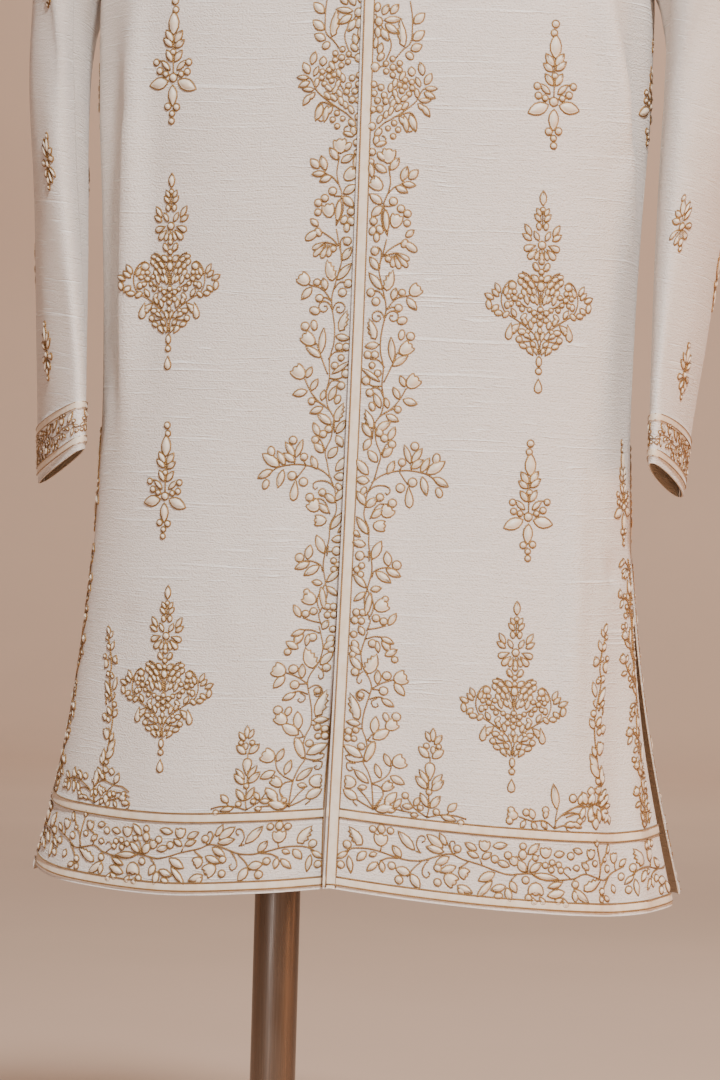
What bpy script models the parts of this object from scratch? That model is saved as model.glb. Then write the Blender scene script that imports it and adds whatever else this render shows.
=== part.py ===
"""Knee-length sherwani coat standing on a limbless dress form with a pole and a round foot.

The frame is +Z up with the floor at Z = 0; the coat faces -Y, so +X is the wearer's left.
Heights named "height" are above the hem, and z_of() turns them into heights above the floor.
A point of the body is an angle (0 at the +X side, -90 degrees in front) at a height.
"""

import math
from collections import namedtuple

import bmesh
import bpy
import numpy as np

MM = 0.001
QUARTER = math.pi / 2

# ---- coat ----
HEM_ABOVE_FLOOR = 0.460
CLOTH = 1.5 * MM  # silk with its interlining
SEAM_GAP = 0.3 * MM
LAP_GAP = 0.5 * MM  # a sleeve over the body's edge
COLLAR_GAP = 0.8 * MM  # the collar over the neckline
BAND_RELIEF = 0.6 * MM  # satin bands along the front edges, the hem and the cuffs
BAND_WIDTH = 9 * MM
BAND_SLOPE = 1 * MM  # width of a band's bevelled side
EDGE_MARGIN = 1.5 * MM  # plain cloth outside a band
HEM_BANDS = (2 * MM, 61 * MM)  # lower edge of each band, above the hem
CUFF_BANDS = (7 * MM, 46 * MM)  # the same, above the cuff's rim
SHOULDER_HEIGHT = 0.975
ARMPIT_HEIGHT = 0.790
ARMHOLE_FRONT = 0.060  # how far the armhole reaches to the front and to the back
ARMHOLE_BACK = 0.068
NECK_HALF_WIDTH = 0.066
NECK_FRONT = 0.0765
NECK_BACK = 0.070
SLIT_HEIGHT = 0.316
COLLAR_HEIGHT = 0.044
COLLAR_LEAN = 0.004
COLLAR_EDGE = 0.004  # the collar's ends stand back from the middle by this

# ---- dress form and stand ----
FORM_BOTTOM = 0.232  # above the hem
FORM_ARM_INSET = 0.03  # share by which its arm ends stand inside the coat's shoulders
FORM_NECK_HALF_WIDTH = 0.054
FORM_NECK_HALF_DEPTH = 0.056
POLE_RADIUS = 0.020
POLE_X = -0.066  # the pole stands off the coat's middle
FLANGE_RADIUS = 0.055
FLANGE_THICKNESS = 0.008
FOOT_RADIUS = 0.200
FOOT_THICKNESS = 0.009
FOOT_BOSS_RADIUS = 0.034
FOOT_BOSS_TOP = 0.036
POLE_SOCKET = 0.004  # bottom of the foot's socket
ROUND_STEPS = 32

Section = namedtuple("Section", "height half_width front_depth back_depth squareness")
BODY_SECTIONS = [
    Section(0.000, 0.2790, 0.148, 0.148, 2.25),
    Section(0.070, 0.2635, 0.142, 0.142, 2.30),
    Section(0.155, 0.2495, 0.134, 0.135, 2.35),
    Section(0.245, 0.2395, 0.127, 0.129, 2.40),
    Section(0.330, 0.2330, 0.121, 0.122, 2.45),
    Section(0.420, 0.2305, 0.117, 0.112, 2.50),
    Section(0.505, 0.2320, 0.116, 0.105, 2.50),
    Section(0.595, 0.2355, 0.118, 0.105, 2.50),
    Section(0.685, 0.2400, 0.122, 0.110, 2.50),
    Section(0.770, 0.2415, 0.124, 0.116, 2.50),
    Section(0.835, 0.2370, 0.119, 0.120, 2.50),
    Section(0.882, 0.2300, 0.109, 0.119, 2.50),
    Section(0.920, 0.2245, 0.089, 0.114, 2.50),
    Section(0.945, 0.2210, 0.074, 0.108, 2.50),
    Section(0.975, 0.2160, 0.063, 0.095, 2.50),
    Section(0.988, 0.1714, 0.058, 0.083, 2.40),
    Section(1.002, 0.1234, 0.051, 0.070, 2.30),
    Section(1.017, 0.0720, 0.042, 0.050, 2.20),
    Section(1.019, 0.0655, 0.038, 0.045, 2.20),
]

# Lift of the hem at each distance round from the middle of the front; it fades out up the skirt.
HemLift = namedtuple("HemLift", "across lift")
HEM_LIFTS = {
    "front_left": [
        HemLift(0.000, 0.020),
        HemLift(0.060, 0.013),
        HemLift(0.150, 0.005),
        HemLift(0.250, 0.000),
        HemLift(0.330, 0.003),
    ],
    "front_right": [
        HemLift(0.000, 0.020),
        HemLift(0.060, 0.013),
        HemLift(0.150, 0.007),
        HemLift(0.250, 0.011),
        HemLift(0.330, 0.020),
    ],
    "back": [
        HemLift(0.000, 0.008),
        HemLift(0.200, 0.007),
        HemLift(0.330, 0.010),
    ],
}
HEM_FADE = 0.300

# Each row is one soft fold: its distance round from the middle of the front or back, where it
# starts and ends above the hem, its depth (a minus is a trough) and its half width.
Fold = namedtuple("Fold", "panel across low high depth width")
BODY_FOLDS = [
    Fold("front_left", 0.262, 0.00, 0.42, 0.0040, 0.048),
    Fold("front_left", 0.216, 0.00, 0.40, -0.0040, 0.050),
    Fold("front_left", 0.215, 0.52, 0.86, 0.0045, 0.048),
    Fold("front_left", 0.250, 0.50, 0.80, -0.0055, 0.048),
    Fold("front_left", 0.120, 0.00, 0.30, 0.0020, 0.080),
    Fold("front_right", 0.226, 0.36, 0.78, 0.0045, 0.042),
    Fold("front_right", 0.262, 0.36, 0.80, -0.0060, 0.048),
    Fold("front_right", 0.205, 0.00, 0.30, -0.0030, 0.056),
    Fold("front_right", 0.110, 0.00, 0.28, 0.0020, 0.080),
    Fold("back", -0.190, 0.00, 0.42, 0.0060, 0.070),
    Fold("back", -0.095, 0.00, 0.36, -0.0050, 0.070),
    Fold("back", 0.015, 0.00, 0.44, 0.0060, 0.080),
    Fold("back", 0.110, 0.00, 0.34, -0.0050, 0.070),
    Fold("back", 0.205, 0.00, 0.40, 0.0060, 0.070),
    Fold("back", -0.120, 0.44, 0.66, -0.0040, 0.090),
    Fold("back", 0.120, 0.44, 0.66, -0.0040, 0.090),
]

# Where the upper front's edge lies, how far the under front reaches past it (a minus is a gap),
# and how far the side slit stands open.
Closing = namedtuple("Closing", "height edge_x lap slit_front slit_back")
CLOSINGS = [
    Closing(0.000, -0.0060, -0.0015, 0.0070, 0.0010),
    Closing(0.080, -0.0050, -0.0040, 0.0060, 0.0010),
    Closing(0.140, -0.0042, 0.0000, 0.0045, 0.0008),
    Closing(0.185, -0.0036, 0.0055, 0.0030, 0.0006),
    Closing(0.316, -0.0020, 0.0120, 0.0000, 0.0000),
    Closing(0.770, 0.0030, 0.0120, 0.0000, 0.0000),
    Closing(1.019, 0.0040, 0.0110, 0.0000, 0.0000),
]
LAP_RAISE = 2.8 * MM
LAP_FLAT = 0.020  # the raised part of the upper front, then its slope down to the body
LAP_SLOPE = 0.040
SLIT_FLARE = 0.006  # how far the back's edge stands outside the front's at the hem
SLIT_FLARE_REACH = 0.060

# Each row is one ring of a sleeve, from the armhole to the cuff: its outer and inner points, half
# its depth from front to back, how it is moved, turned and tilted, and how much wider the left
# sleeve is on its outside and the right sleeve on its inside.
Ring = namedtuple(
    "Ring",
    "along outer_x outer_height inner_x inner_height half_depth centre_y twist front_lift"
    " left_wider right_wider",
)
SLEEVE_RINGS = [
    Ring(0.00, 0.2160, 0.975, 0.2410, 0.790, 0.064, 0.004, 0, 0.000, 0.000, 0.000),
    Ring(0.05, 0.2350, 0.979, 0.2490, 0.772, 0.069, 0.004, 0, 0.000, 0.000, 0.000),
    Ring(0.11, 0.2600, 0.968, 0.2545, 0.752, 0.074, 0.004, 1, 0.000, 0.001, 0.000),
    Ring(0.18, 0.2840, 0.940, 0.2565, 0.733, 0.078, 0.004, 3, 0.000, 0.003, 0.000),
    Ring(0.26, 0.3000, 0.894, 0.2570, 0.712, 0.081, 0.004, 6, 0.000, 0.006, 0.000),
    Ring(0.35, 0.3060, 0.832, 0.2570, 0.685, 0.082, 0.004, 8, 0.000, 0.009, 0.000),
    Ring(0.44, 0.3060, 0.760, 0.2565, 0.652, 0.080, 0.003, 10, 0.002, 0.010, 0.000),
    Ring(0.55, 0.3030, 0.678, 0.2555, 0.602, 0.077, 0.001, 11, 0.004, 0.008, 0.001),
    Ring(0.66, 0.2990, 0.592, 0.2540, 0.543, 0.073, -0.003, 12, 0.006, 0.005, 0.003),
    Ring(0.78, 0.2935, 0.505, 0.2530, 0.474, 0.069, -0.010, 13, 0.008, 0.002, 0.005),
    Ring(0.89, 0.2860, 0.430, 0.2535, 0.411, 0.065, -0.019, 14, 0.011, 0.000, 0.007),
    Ring(1.00, 0.2805, 0.371, 0.2540, 0.356, 0.062, -0.028, 14, 0.013, 0.000, 0.009),
]
SLEEVE_SQUARENESS = 1.9
SLEEVE_SETTLE = 0.14  # share of the sleeve over which the armhole's own outline fades out
FRONT_SEAM = math.radians(126)  # round from the outer side by way of the front
BACK_SEAM = math.radians(270)
CUFF_LENGTH = 0.620  # the sleeve's length, to space the cuff bands

SleeveFold = namedtuple("SleeveFold", "around low high depth width")
SLEEVE_FOLDS = [
    SleeveFold(70, 0.28, 0.56, -0.0045, 40),
    SleeveFold(20, 0.38, 0.68, 0.0035, 36),
    SleeveFold(320, 0.34, 0.62, -0.0040, 36),
    SleeveFold(60, 0.62, 0.96, -0.0030, 40),
]

# Clearance of the form inside the coat.
Ease = namedtuple("Ease", "height ease")
FORM_EASE = [
    Ease(0.232, 0.015),
    Ease(0.330, 0.015),
    Ease(0.505, 0.014),
    Ease(0.640, 0.011),
    Ease(0.770, 0.007),
    Ease(0.860, 0.005),
    Ease(0.940, 0.0045),
    Ease(0.975, 0.0055),
    Ease(0.995, 0.0045),
    Ease(1.019, 0.0030),
]
FORM_HEIGHTS = (
    0.248, 0.300, 0.360, 0.430, 0.505, 0.595, 0.685, 0.770, 0.835, 0.882,
    0.920, 0.945, 0.962, 0.974, 0.982, 0.992, 1.004, 1.014, 1.018,
)  # fmt: skip
# The form's rounded lower edge and its neck: height and distance drawn in.
FORM_HEEL = ((0.232, 0.020), (0.234, 0.010), (0.239, 0.003))
FORM_NECK = ((1.026, 0.0005), (1.040, 0.0), (1.070, 0.0005), (1.080, 0.002), (1.084, 0.008))
FORM_POINTS = 40

SKIRT_HEIGHTS = (0.125, 0.190, 0.255, 0.316, 0.385, 0.460, 0.540, 0.620, 0.690, 0.745)
YOKE_ROWS = 11  # from the armpit up
PIT_ROW = 5  # the row that meets the neck pit
FRONT_COLUMNS = 10
NECK_COLUMNS = 5  # of half the back, from its middle to the line below the neck's corner
SHOULDER_COLUMNS = 8
SLEEVE_ALONG = (0.0, 0.03, 0.07, 0.12, 0.18, 0.25, 0.33, 0.42, 0.51, 0.60, 0.70, 0.80, 0.88)
UPPER_COLUMNS = 13  # one at each row of the armhole
UNDER_COLUMNS = 9
COLLAR_COLUMNS = 25
DENSE = 260
NECK_SHARE = 52  # how many of a dense row's points lie inside the neck's corner

Color = namedtuple("Color", "red green blue roughness metallic")
MATERIALS = {
    "ivory_silk": Color(0.74, 0.68, 0.57, 0.60, 0.0),
    "form_cloth": Color(0.62, 0.60, 0.56, 0.85, 0.0),
    "steel": Color(0.62, 0.62, 0.63, 0.32, 1.0),
}


def z_of(height):
    return HEM_ABOVE_FLOOR + height


def smooth(table, key, name, at):
    """A named column of a table at any key value, by a cubic that never overshoots."""
    x = np.array([getattr(row, key) for row in table], float)
    y = np.array([getattr(row, name) for row in table], float)
    at = np.clip(np.asarray(at, float), x[0], x[-1])
    step = np.diff(x)
    slope = np.diff(y) / step
    before, after = slope[:-1], slope[1:]
    turning = before * after <= 0
    blend = 3 * (step[:-1] + step[1:])
    shared = (2 * step[1:] + step[:-1]) / np.where(turning, 1, before)
    shared = shared + (step[1:] + 2 * step[:-1]) / np.where(turning, 1, after)
    inner = np.where(turning, 0, blend / np.where(turning, 1, shared))
    tangent = np.concatenate([slope[:1], inner, slope[-1:]])
    i = np.clip(np.searchsorted(x, at, side="right") - 1, 0, len(step) - 1)
    h = step[i]
    t = (at - x[i]) / h
    start = y[i] * (1 + 2 * t) * (1 - t) ** 2 + tangent[i] * h * t * (1 - t) ** 2
    end = y[i + 1] * t * t * (3 - 2 * t) + tangent[i + 1] * h * t * t * (t - 1)
    return start + end


def ease_step(t):
    t = np.clip(t, 0, 1)
    return t * t * (3 - 2 * t)


def unit(v):
    return v / np.linalg.norm(v, axis=-1, keepdims=True)


# ---- the body's surface ----
def section(height):
    return [smooth(BODY_SECTIONS, "height", name, height) for name in Section._fields[1:]]


def body_point(angle, height):
    """A point of the coat's inner side."""
    half_width, front, back, squareness = section(height)
    c, s = np.cos(angle), np.sin(angle)
    x = half_width * np.sign(c) * np.abs(c) ** (2 / squareness)
    y = np.where(s < 0, front, back) * np.sign(s) * np.abs(s) ** (2 / squareness)
    return np.stack(np.broadcast_arrays(x, y, z_of(height)), -1)


def body_normal(angle, height):
    turn, rise = 4e-3, 6e-4
    top = BODY_SECTIONS[-1].height
    upper = np.minimum(height + rise, top)
    lower = np.maximum(height - rise, 0)
    across = body_point(angle + turn, height) - body_point(angle - turn, height)
    up = body_point(angle, upper) - body_point(angle, lower)
    return unit(np.cross(across, up))


def angle_at_x(x, height):
    """The angle on the front where a section passes this x."""
    half_width, _, _, squareness = section(height)
    return -np.arccos(np.sign(x) * np.abs(x / half_width) ** (squareness / 2))


def angle_at_y(y, height):
    """The angle on the +X side where a section passes this y."""
    _, front, back, squareness = section(height)
    depth = np.where(np.asarray(y) < 0, front, back)
    return np.sign(y) * np.arcsin(np.abs(y / depth) ** (squareness / 2))


def neckline(turn):
    """(angle, height) where the neck's upright oval meets the body: turn 0 in front, 180 behind."""
    x = NECK_HALF_WIDTH * np.sin(turn)
    y = -np.cos(turn) * np.where(np.cos(turn) > 0, NECK_FRONT, NECK_BACK)
    heights = np.linspace(0.90, BODY_SECTIONS[-1].height, 400)
    half_width, front, back, squareness = section(heights)
    found = []
    for px, py in zip(np.atleast_1d(x), np.atleast_1d(y)):
        depth = front if py < 0 else back
        reach = np.abs(px / half_width) ** squareness + np.abs(py / depth) ** squareness
        height = np.interp(1.0, reach, heights)
        a, f, b, n = section(height)
        c = np.sign(px) * abs(px / a) ** (n / 2)
        s = np.sign(py) * abs(py / (f if py < 0 else b)) ** (n / 2)
        found.append((math.atan2(s, c), float(height)))
    return np.array(found)


def armhole(turn, side):
    """(angle, height) on the armhole: turn 0 at the shoulder, 180 at the armpit."""
    middle = (SHOULDER_HEIGHT + ARMPIT_HEIGHT) / 2
    half = (SHOULDER_HEIGHT - ARMPIT_HEIGHT) / 2
    reach = ARMHOLE_FRONT if side < 0 else ARMHOLE_BACK
    height = middle + half * np.cos(turn)
    depth = np.maximum(reach * np.abs(np.sin(turn)), SEAM_GAP / 2)
    return np.stack([angle_at_y(side * depth, height), height], -1)


# ---- panels ----
def band_steps(bands):
    edges = (0, BAND_SLOPE, BAND_WIDTH - BAND_SLOPE, BAND_WIDTH)
    return [low + step for low in bands for step in edges]


def band_relief(distance, bands):
    """Height of the raised satin bands at this distance from an edge."""
    relief = np.zeros_like(distance)
    for low in bands:
        rise = np.minimum(distance - low, low + BAND_WIDTH - distance) / BAND_SLOPE
        relief = np.maximum(relief, np.clip(rise + 1e-6, 0, 1))
    return relief * BAND_RELIEF


def skirt_rows():
    return np.array([0.0, *band_steps(HEM_BANDS), *SKIRT_HEIGHTS])


def coons(left, right, bottom, top):
    """Fills four boundary curves, in angle and height; rows run from left to right."""
    v = np.linspace(0, 1, len(left))[:, None, None]
    t = np.linspace(0, 1, len(bottom))[None, :, None]
    ruled = (1 - v) * bottom[None] + v * top[None] + (1 - t) * left[:, None] + t * right[:, None]
    low = (1 - t) * bottom[0] + t * bottom[-1]
    high = (1 - t) * top[0] + t * top[-1]
    return ruled - (1 - v) * low - v * high


def line(start, end):
    return np.linspace(start, end, DENSE)


def front_rows(start_x):
    """Dense rows of one front, hem to shoulder, each from the front edge to the side."""
    rows = []
    for height in skirt_rows():
        edge = angle_at_x(start_x(height), height)
        rows.append(line((edge, height), (0.0, height)))
    first = neckline(np.arcsin(start_x(0.94) / NECK_HALF_WIDTH))[0]
    rise = np.linspace(ARMPIT_HEIGHT, first[1], PIT_ROW + 1)[:-1]
    edge = np.stack([angle_at_x(start_x(rise), rise), rise], -1)
    start_turn = math.asin(start_x(0.94) / NECK_HALF_WIDTH)
    neck = neckline(np.linspace(start_turn, QUARTER, YOKE_ROWS - PIT_ROW))
    left = np.concatenate([edge, neck])
    right = armhole(np.linspace(math.pi, 0, YOKE_ROWS), -1)
    left[-1, 0] = angle_at_y(-SEAM_GAP / 2, left[-1, 1])
    bottom = line(left[0], right[0])
    top = shoulder(left[-1], right[-1], -1)
    return np.concatenate([rows, coons(left, right, bottom, top)])


def shoulder(start, end, side):
    """The shoulder seam, half the seam's gap off the ridge."""
    seam = line(start, end)
    seam[:, 0] = angle_at_y(side * SEAM_GAP / 2, seam[:, 1])
    return seam


def back_rows():
    """Dense rows of half the back, each from the middle to the +X side."""
    rows = [line((QUARTER, height), (0.0, height)) for height in skirt_rows()]
    neck = neckline(np.linspace(math.pi, QUARTER, NECK_SHARE))
    neck[-1, 0] = angle_at_y(SEAM_GAP / 2, neck[-1, 1])
    right = armhole(np.linspace(math.pi, 0, YOKE_ROWS), 1)
    seam = shoulder(neck[-1], right[-1], 1)
    seam = seam[np.linspace(1, DENSE - 1, DENSE - NECK_SHARE).round().astype(int)]
    top = np.concatenate([neck, seam])
    left = np.linspace((QUARTER, ARMPIT_HEIGHT), top[0], YOKE_ROWS)
    bottom = line(left[0], right[0])
    return np.concatenate([rows, coons(left, right, bottom, top)])


def stationed(rows, stations):
    """Points of the rows at chosen distances along each, and those distances.

    stations(i, travelled) picks them from the distances along dense row i.
    """
    angles, heights, distances = [], [], []
    for i, row in enumerate(rows):
        points = body_point(row[:, 0], row[:, 1])
        steps = np.linalg.norm(np.diff(points, axis=0), axis=1)
        travelled = np.concatenate([[0], np.cumsum(steps)])
        at = stations(i, travelled)
        angles.append(np.interp(at, travelled, row[:, 0]))
        heights.append(np.interp(at, travelled, row[:, 1]))
        distances.append(at)
    return np.array(angles), np.array(heights), np.array(distances)


def fold_offset(panel, across, height):
    total = np.zeros_like(across)
    for fold in BODY_FOLDS:
        if fold.panel != panel:
            continue
        if fold.low > 0:
            middle, half = (fold.low + fold.high) / 2, (fold.high - fold.low) / 2
            fade = ease_step(1 - np.abs(height - middle) / half)
        else:
            fade = ease_step(1 - height / fold.high)
        total += fold.depth * ease_step(1 - np.abs(across - fold.across) / fold.width) * fade
    return total


def hem_lift(panel, across, height):
    lift = smooth(HEM_LIFTS[panel], "across", "lift", np.abs(across))
    return lift * ease_step(1 - height / HEM_FADE)


def trim(height, name):
    """How far a panel's side edge stands back from the side seam's line."""
    return SEAM_GAP / 2 + smooth(CLOSINGS, "height", name, height)


def closing(name):
    return lambda height: smooth(CLOSINGS, "height", name, height)


def lap_raise(x):
    """How far the upper front and the collar stand off the body to clear the under front."""
    return LAP_RAISE * ease_step((LAP_FLAT + LAP_SLOPE - x) / LAP_SLOPE)


def front_panel(name, panel, start_x, raise_edge):
    rows = front_rows(start_x)
    edge_steps = np.array([0.0, *(EDGE_MARGIN + step for step in band_steps((0.0,)))])
    below_armpit = len(skirt_rows())

    def stations(i, travelled):
        length = travelled[-1]
        if i < below_armpit:
            length = length - trim(rows[i][0][1], "slit_front")
        fixed = edge_steps * min(1.0, length / 0.16)
        rest = np.linspace(fixed[-1], length, FRONT_COLUMNS + 1)[1:]
        return np.concatenate([fixed, rest])

    angles, heights, distances = stationed(rows, stations)
    across = distances + start_x(heights[:, :1])
    normal = body_normal(angles, heights)
    offset = fold_offset(panel, across, heights)
    base = body_point(angles, heights)
    if raise_edge:
        offset = offset + lap_raise(base[..., 0])
    inner = base + normal * offset[..., None]
    inner[..., 2] += hem_lift(panel, across, heights)
    below_pit = np.clip((rows[below_armpit + PIT_ROW][0][1] - heights[:, :1]) / 0.01, 0, 1)
    relief = band_relief(distances - EDGE_MARGIN, (0.0,)) * below_pit
    relief = np.maximum(relief, band_relief(heights, HEM_BANDS))
    outer = inner + normal * (CLOTH + relief)[..., None]
    if panel == "front_right":
        inner, outer = (grid * (-1, 1, 1) for grid in (inner, outer))
    return wall(name, inner, outer)


def back_panel():
    rows = back_rows()
    below_armpit = len(skirt_rows())

    def stations(i, travelled):
        length, corner = travelled[-1], travelled[NECK_SHARE - 1]
        if i < below_armpit:
            length = length - trim(rows[i][0][1], "slit_back")
        inside = np.linspace(0, corner, NECK_COLUMNS)[:-1]
        return np.concatenate([inside, np.linspace(corner, length, SHOULDER_COLUMNS)])

    angles, heights, distances = stationed(rows, stations)
    normal = body_normal(angles, heights)
    from_edge = distances[:, -1:] - distances
    open_share = ease_step(1 - heights / SLIT_HEIGHT)
    flare = SLIT_FLARE * ease_step(1 - from_edge / SLIT_FLARE_REACH) * open_share
    halves = []
    for side in (-1, 1):
        offset = fold_offset("back", side * distances, heights) + flare
        inner = body_point(angles, heights) + normal * offset[..., None]
        inner[..., 2] += hem_lift("back", distances, heights)
        outer = inner + normal * (CLOTH + band_relief(heights, HEM_BANDS))[..., None]
        halves.append([grid * (side, 1, 1) for grid in (inner, outer)])
    right, left = halves
    inner, outer = (
        np.concatenate([r[:, :0:-1], left_half], axis=1) for r, left_half in zip(right, left)
    )
    return wall("back_panel", inner, outer)


# ---- sleeves ----
def ring_point(side, along, around):
    """A point of a sleeve's inner side, as if on +X: around 0 outside, 90 degrees in front."""
    get = {name: smooth(SLEEVE_RINGS, "along", name, along) for name in Ring._fields[1:]}
    if side > 0:
        get["outer_x"] = get["outer_x"] + get["left_wider"]
    else:
        get["inner_x"] = get["inner_x"] - get["right_wider"]
    power = 2 / SLEEVE_SQUARENESS
    c, s = np.cos(around), np.sin(around)
    c = np.sign(c) * np.abs(c) ** power
    s = np.sign(s) * np.abs(s) ** power
    middle_x = (get["outer_x"] + get["inner_x"]) / 2
    middle_height = (get["outer_height"] + get["inner_height"]) / 2
    turn = np.radians(get["twist"])
    reach_x = (get["outer_x"] - get["inner_x"]) / 2 * c
    reach_y = -get["half_depth"] * s
    x = middle_x + reach_x * np.cos(turn) + reach_y * np.sin(turn)
    y = get["centre_y"] - reach_x * np.sin(turn) + reach_y * np.cos(turn)
    lift = (get["outer_height"] - get["inner_height"]) / 2 * c + get["front_lift"] * s
    return np.stack(np.broadcast_arrays(x, y, z_of(middle_height + lift)), -1)


def armhole_point(around):
    """The body's edge at this place round the sleeve, and the way out from the cloth there."""
    turn = np.where(around > math.pi, 2 * math.pi - around, around)
    front = armhole(turn, -1)
    back = armhole(turn, 1)
    chosen = np.where((np.sin(around) > 0)[..., None], front, back)
    angle, height = chosen[..., 0], chosen[..., 1]
    return body_point(angle, height), body_normal(angle, height)


def sleeve_surface(side, along, around):
    """A sleeve's inner side, with its start drawn onto the armhole."""
    edge, _ = armhole_point(around % (2 * math.pi))
    blend = ease_step(1 - along / SLEEVE_SETTLE)[..., None]
    start = ring_point(side, np.zeros_like(along), around)
    return ring_point(side, along, around) + blend * (edge - start)


def sleeve_normal(side, along, around):
    turn, step = 0.02, 0.004
    across = sleeve_surface(side, along, around + turn)
    across = across - sleeve_surface(side, along, around - turn)
    down = sleeve_surface(side, np.minimum(along + step, 1), around)
    down = down - sleeve_surface(side, np.maximum(along - step, 0), around)
    return unit(np.cross(across, down))


def sleeve_folds(along, around):
    folds = np.zeros_like(along)
    degrees = np.degrees(around)
    for fold in SLEEVE_FOLDS:
        middle, half = (fold.low + fold.high) / 2, (fold.high - fold.low) / 2
        away = np.abs((degrees - fold.around + 180) % 360 - 180)
        fade = ease_step(1 - np.abs(along - middle) / half)
        folds += fold.depth * ease_step(1 - away / fold.width) * fade
    return folds


def sleeve_grid(side, along, around):
    """Inner and outer points of a sleeve, as if on +X."""
    _, body_out = armhole_point(around % (2 * math.pi))
    points = sleeve_surface(side, along, around)
    normal = sleeve_normal(side, along, around)
    facing = np.sum(normal * body_out, -1)
    clearance = CLOTH + LAP_GAP + CLOTH * np.clip(-facing, 0, 1)
    points = points + body_out * (clearance * ease_step(1 - along / 0.10))[..., None]
    points = points + normal * sleeve_folds(along, around)[..., None]
    from_rim = (1 - along) * CUFF_LENGTH
    thickness = CLOTH + band_relief(from_rim, CUFF_BANDS)
    return points, points + normal * thickness[..., None]


def seam_trim(side, along, around):
    """The angle that half a seam's gap takes at this place on the sleeve."""
    nearby = 0.02
    ahead = ring_point(side, along, around + nearby) - ring_point(side, along, around - nearby)
    return SEAM_GAP / 2 * 2 * nearby / np.linalg.norm(ahead, axis=-1)


def sleeve_piece(name, side, start, end, columns):
    cuff = 1 - np.array([*band_steps(CUFF_BANDS)[::-1], 0.0]) / CUFF_LENGTH
    along = np.array([*SLEEVE_ALONG, *cuff])
    around = np.linspace(start, end, columns)
    along_grid, around_grid = np.meshgrid(along, around, indexing="ij")
    around_grid[:, 0] += 1.3 * seam_trim(side, along, start)
    around_grid[:, -1] -= 1.3 * seam_trim(side, along, end)
    inner, outer = sleeve_grid(side, along_grid, around_grid)
    if side < 0:
        inner, outer = (grid * (-1, 1, 1) for grid in (inner, outer))
    return wall(name, inner, outer)


# ---- collar ----
def collar():
    start = math.asin(COLLAR_EDGE / NECK_HALF_WIDTH)
    turn = np.linspace(start, 2 * math.pi - start, COLLAR_COLUMNS)
    place = neckline(turn)
    edge = body_point(place[:, 0], place[:, 1])
    away = body_normal(place[:, 0], place[:, 1])
    flat = unit(np.stack([np.sin(turn), -np.cos(turn), np.zeros_like(turn)], -1))
    lift = CLOTH + COLLAR_GAP + np.where(turn < math.pi, lap_raise(edge[:, 0]), 0)
    base = edge + away * lift[:, None] + flat * CLOTH
    rise = unit(np.array([0.0, 0.16, 1.0]))
    inner, outer = [], []
    for share in (0.0, 0.35, 0.7, 1.0):
        level = base + rise * COLLAR_HEIGHT * share - flat * COLLAR_LEAN * share
        inner.append(level)
        outer.append(level + flat * CLOTH)
    return wall("collar", np.array(inner), np.array(outer))


# ---- dress form and stand ----
def form():
    angles = np.linspace(0, 2 * math.pi, FORM_POINTS, endpoint=False)
    rings = []
    bottom = FORM_HEIGHTS[0]
    for height, drawn_in in FORM_HEEL:
        rings.append(form_ring(angles, bottom, drawn_in) + (0, 0, height - bottom))
    rings += [form_ring(angles, height, 0.0) for height in FORM_HEIGHTS]
    rings += [neck_ring(angles, height, drawn_in) for height, drawn_in in FORM_NECK]
    return loft("dress_form", rings)


def form_ring(angles, height, drawn_in):
    heights = np.full(angles.shape, height)
    ease = smooth(FORM_EASE, "height", "ease", height) + drawn_in
    points = body_point(angles, heights)
    points = points - body_normal(angles, heights) * ease
    inset = FORM_ARM_INSET * ease_step((height - ARMPIT_HEIGHT) / (SHOULDER_HEIGHT - ARMPIT_HEIGHT))
    points[:, 0] *= 1 - inset
    if height < ARMPIT_HEIGHT:
        points[:, 2] = z_of(height)
    direction = np.arctan2(points[:, 1], points[:, 0])
    neck = neck_radius(direction)
    radius = np.hypot(points[:, 0], points[:, 1])
    if height > SHOULDER_HEIGHT:
        points[:, :2] *= (np.maximum(radius, neck) / radius)[:, None]
    return points


def neck_radius(direction):
    across = np.cos(direction) / FORM_NECK_HALF_WIDTH
    along = np.sin(direction) / FORM_NECK_HALF_DEPTH
    return 1 / np.hypot(across, along)


def neck_ring(angles, height, drawn_in):
    x = (FORM_NECK_HALF_WIDTH - drawn_in) * np.cos(angles)
    y = (FORM_NECK_HALF_DEPTH - drawn_in) * np.sin(angles)
    return np.stack([x, y, np.full(angles.shape, z_of(height))], -1)


def turned(name, profile):
    """A round piece about the pole's axis, from (radius, z) pairs going up its outside."""
    angles = np.linspace(0, 2 * math.pi, ROUND_STEPS, endpoint=False)
    rings = []
    for radius, z in profile:
        x = POLE_X + radius * np.cos(angles)
        rings.append(np.stack([x, radius * np.sin(angles), np.full(angles.shape, z)], -1))
    return loft(name, rings)


# ---- meshes ----
def solid(name, points, faces):
    mesh = bpy.data.meshes.new(name)
    mesh.from_pydata(points.tolist(), [], faces)
    shape = bmesh.new()
    shape.from_mesh(mesh)
    bmesh.ops.recalc_face_normals(shape, faces=shape.faces)
    shape.to_mesh(mesh)
    shape.free()
    mesh.shade_smooth()
    mesh.set_sharp_from_angle(angle=math.radians(40))
    obj = bpy.data.objects.new(name, mesh)
    collection.objects.link(obj)
    return obj


def quads(rows, columns, first, wraps=False):
    """Faces between neighbouring rows of a grid of points that starts at index first."""
    last = columns if wraps else columns - 1
    faces = []
    for i in range(rows - 1):
        for j in range(last):
            k = (j + 1) % columns
            low, high = first + i * columns, first + (i + 1) * columns
            faces.append((low + j, low + k, high + k, high + j))
    return faces


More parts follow.
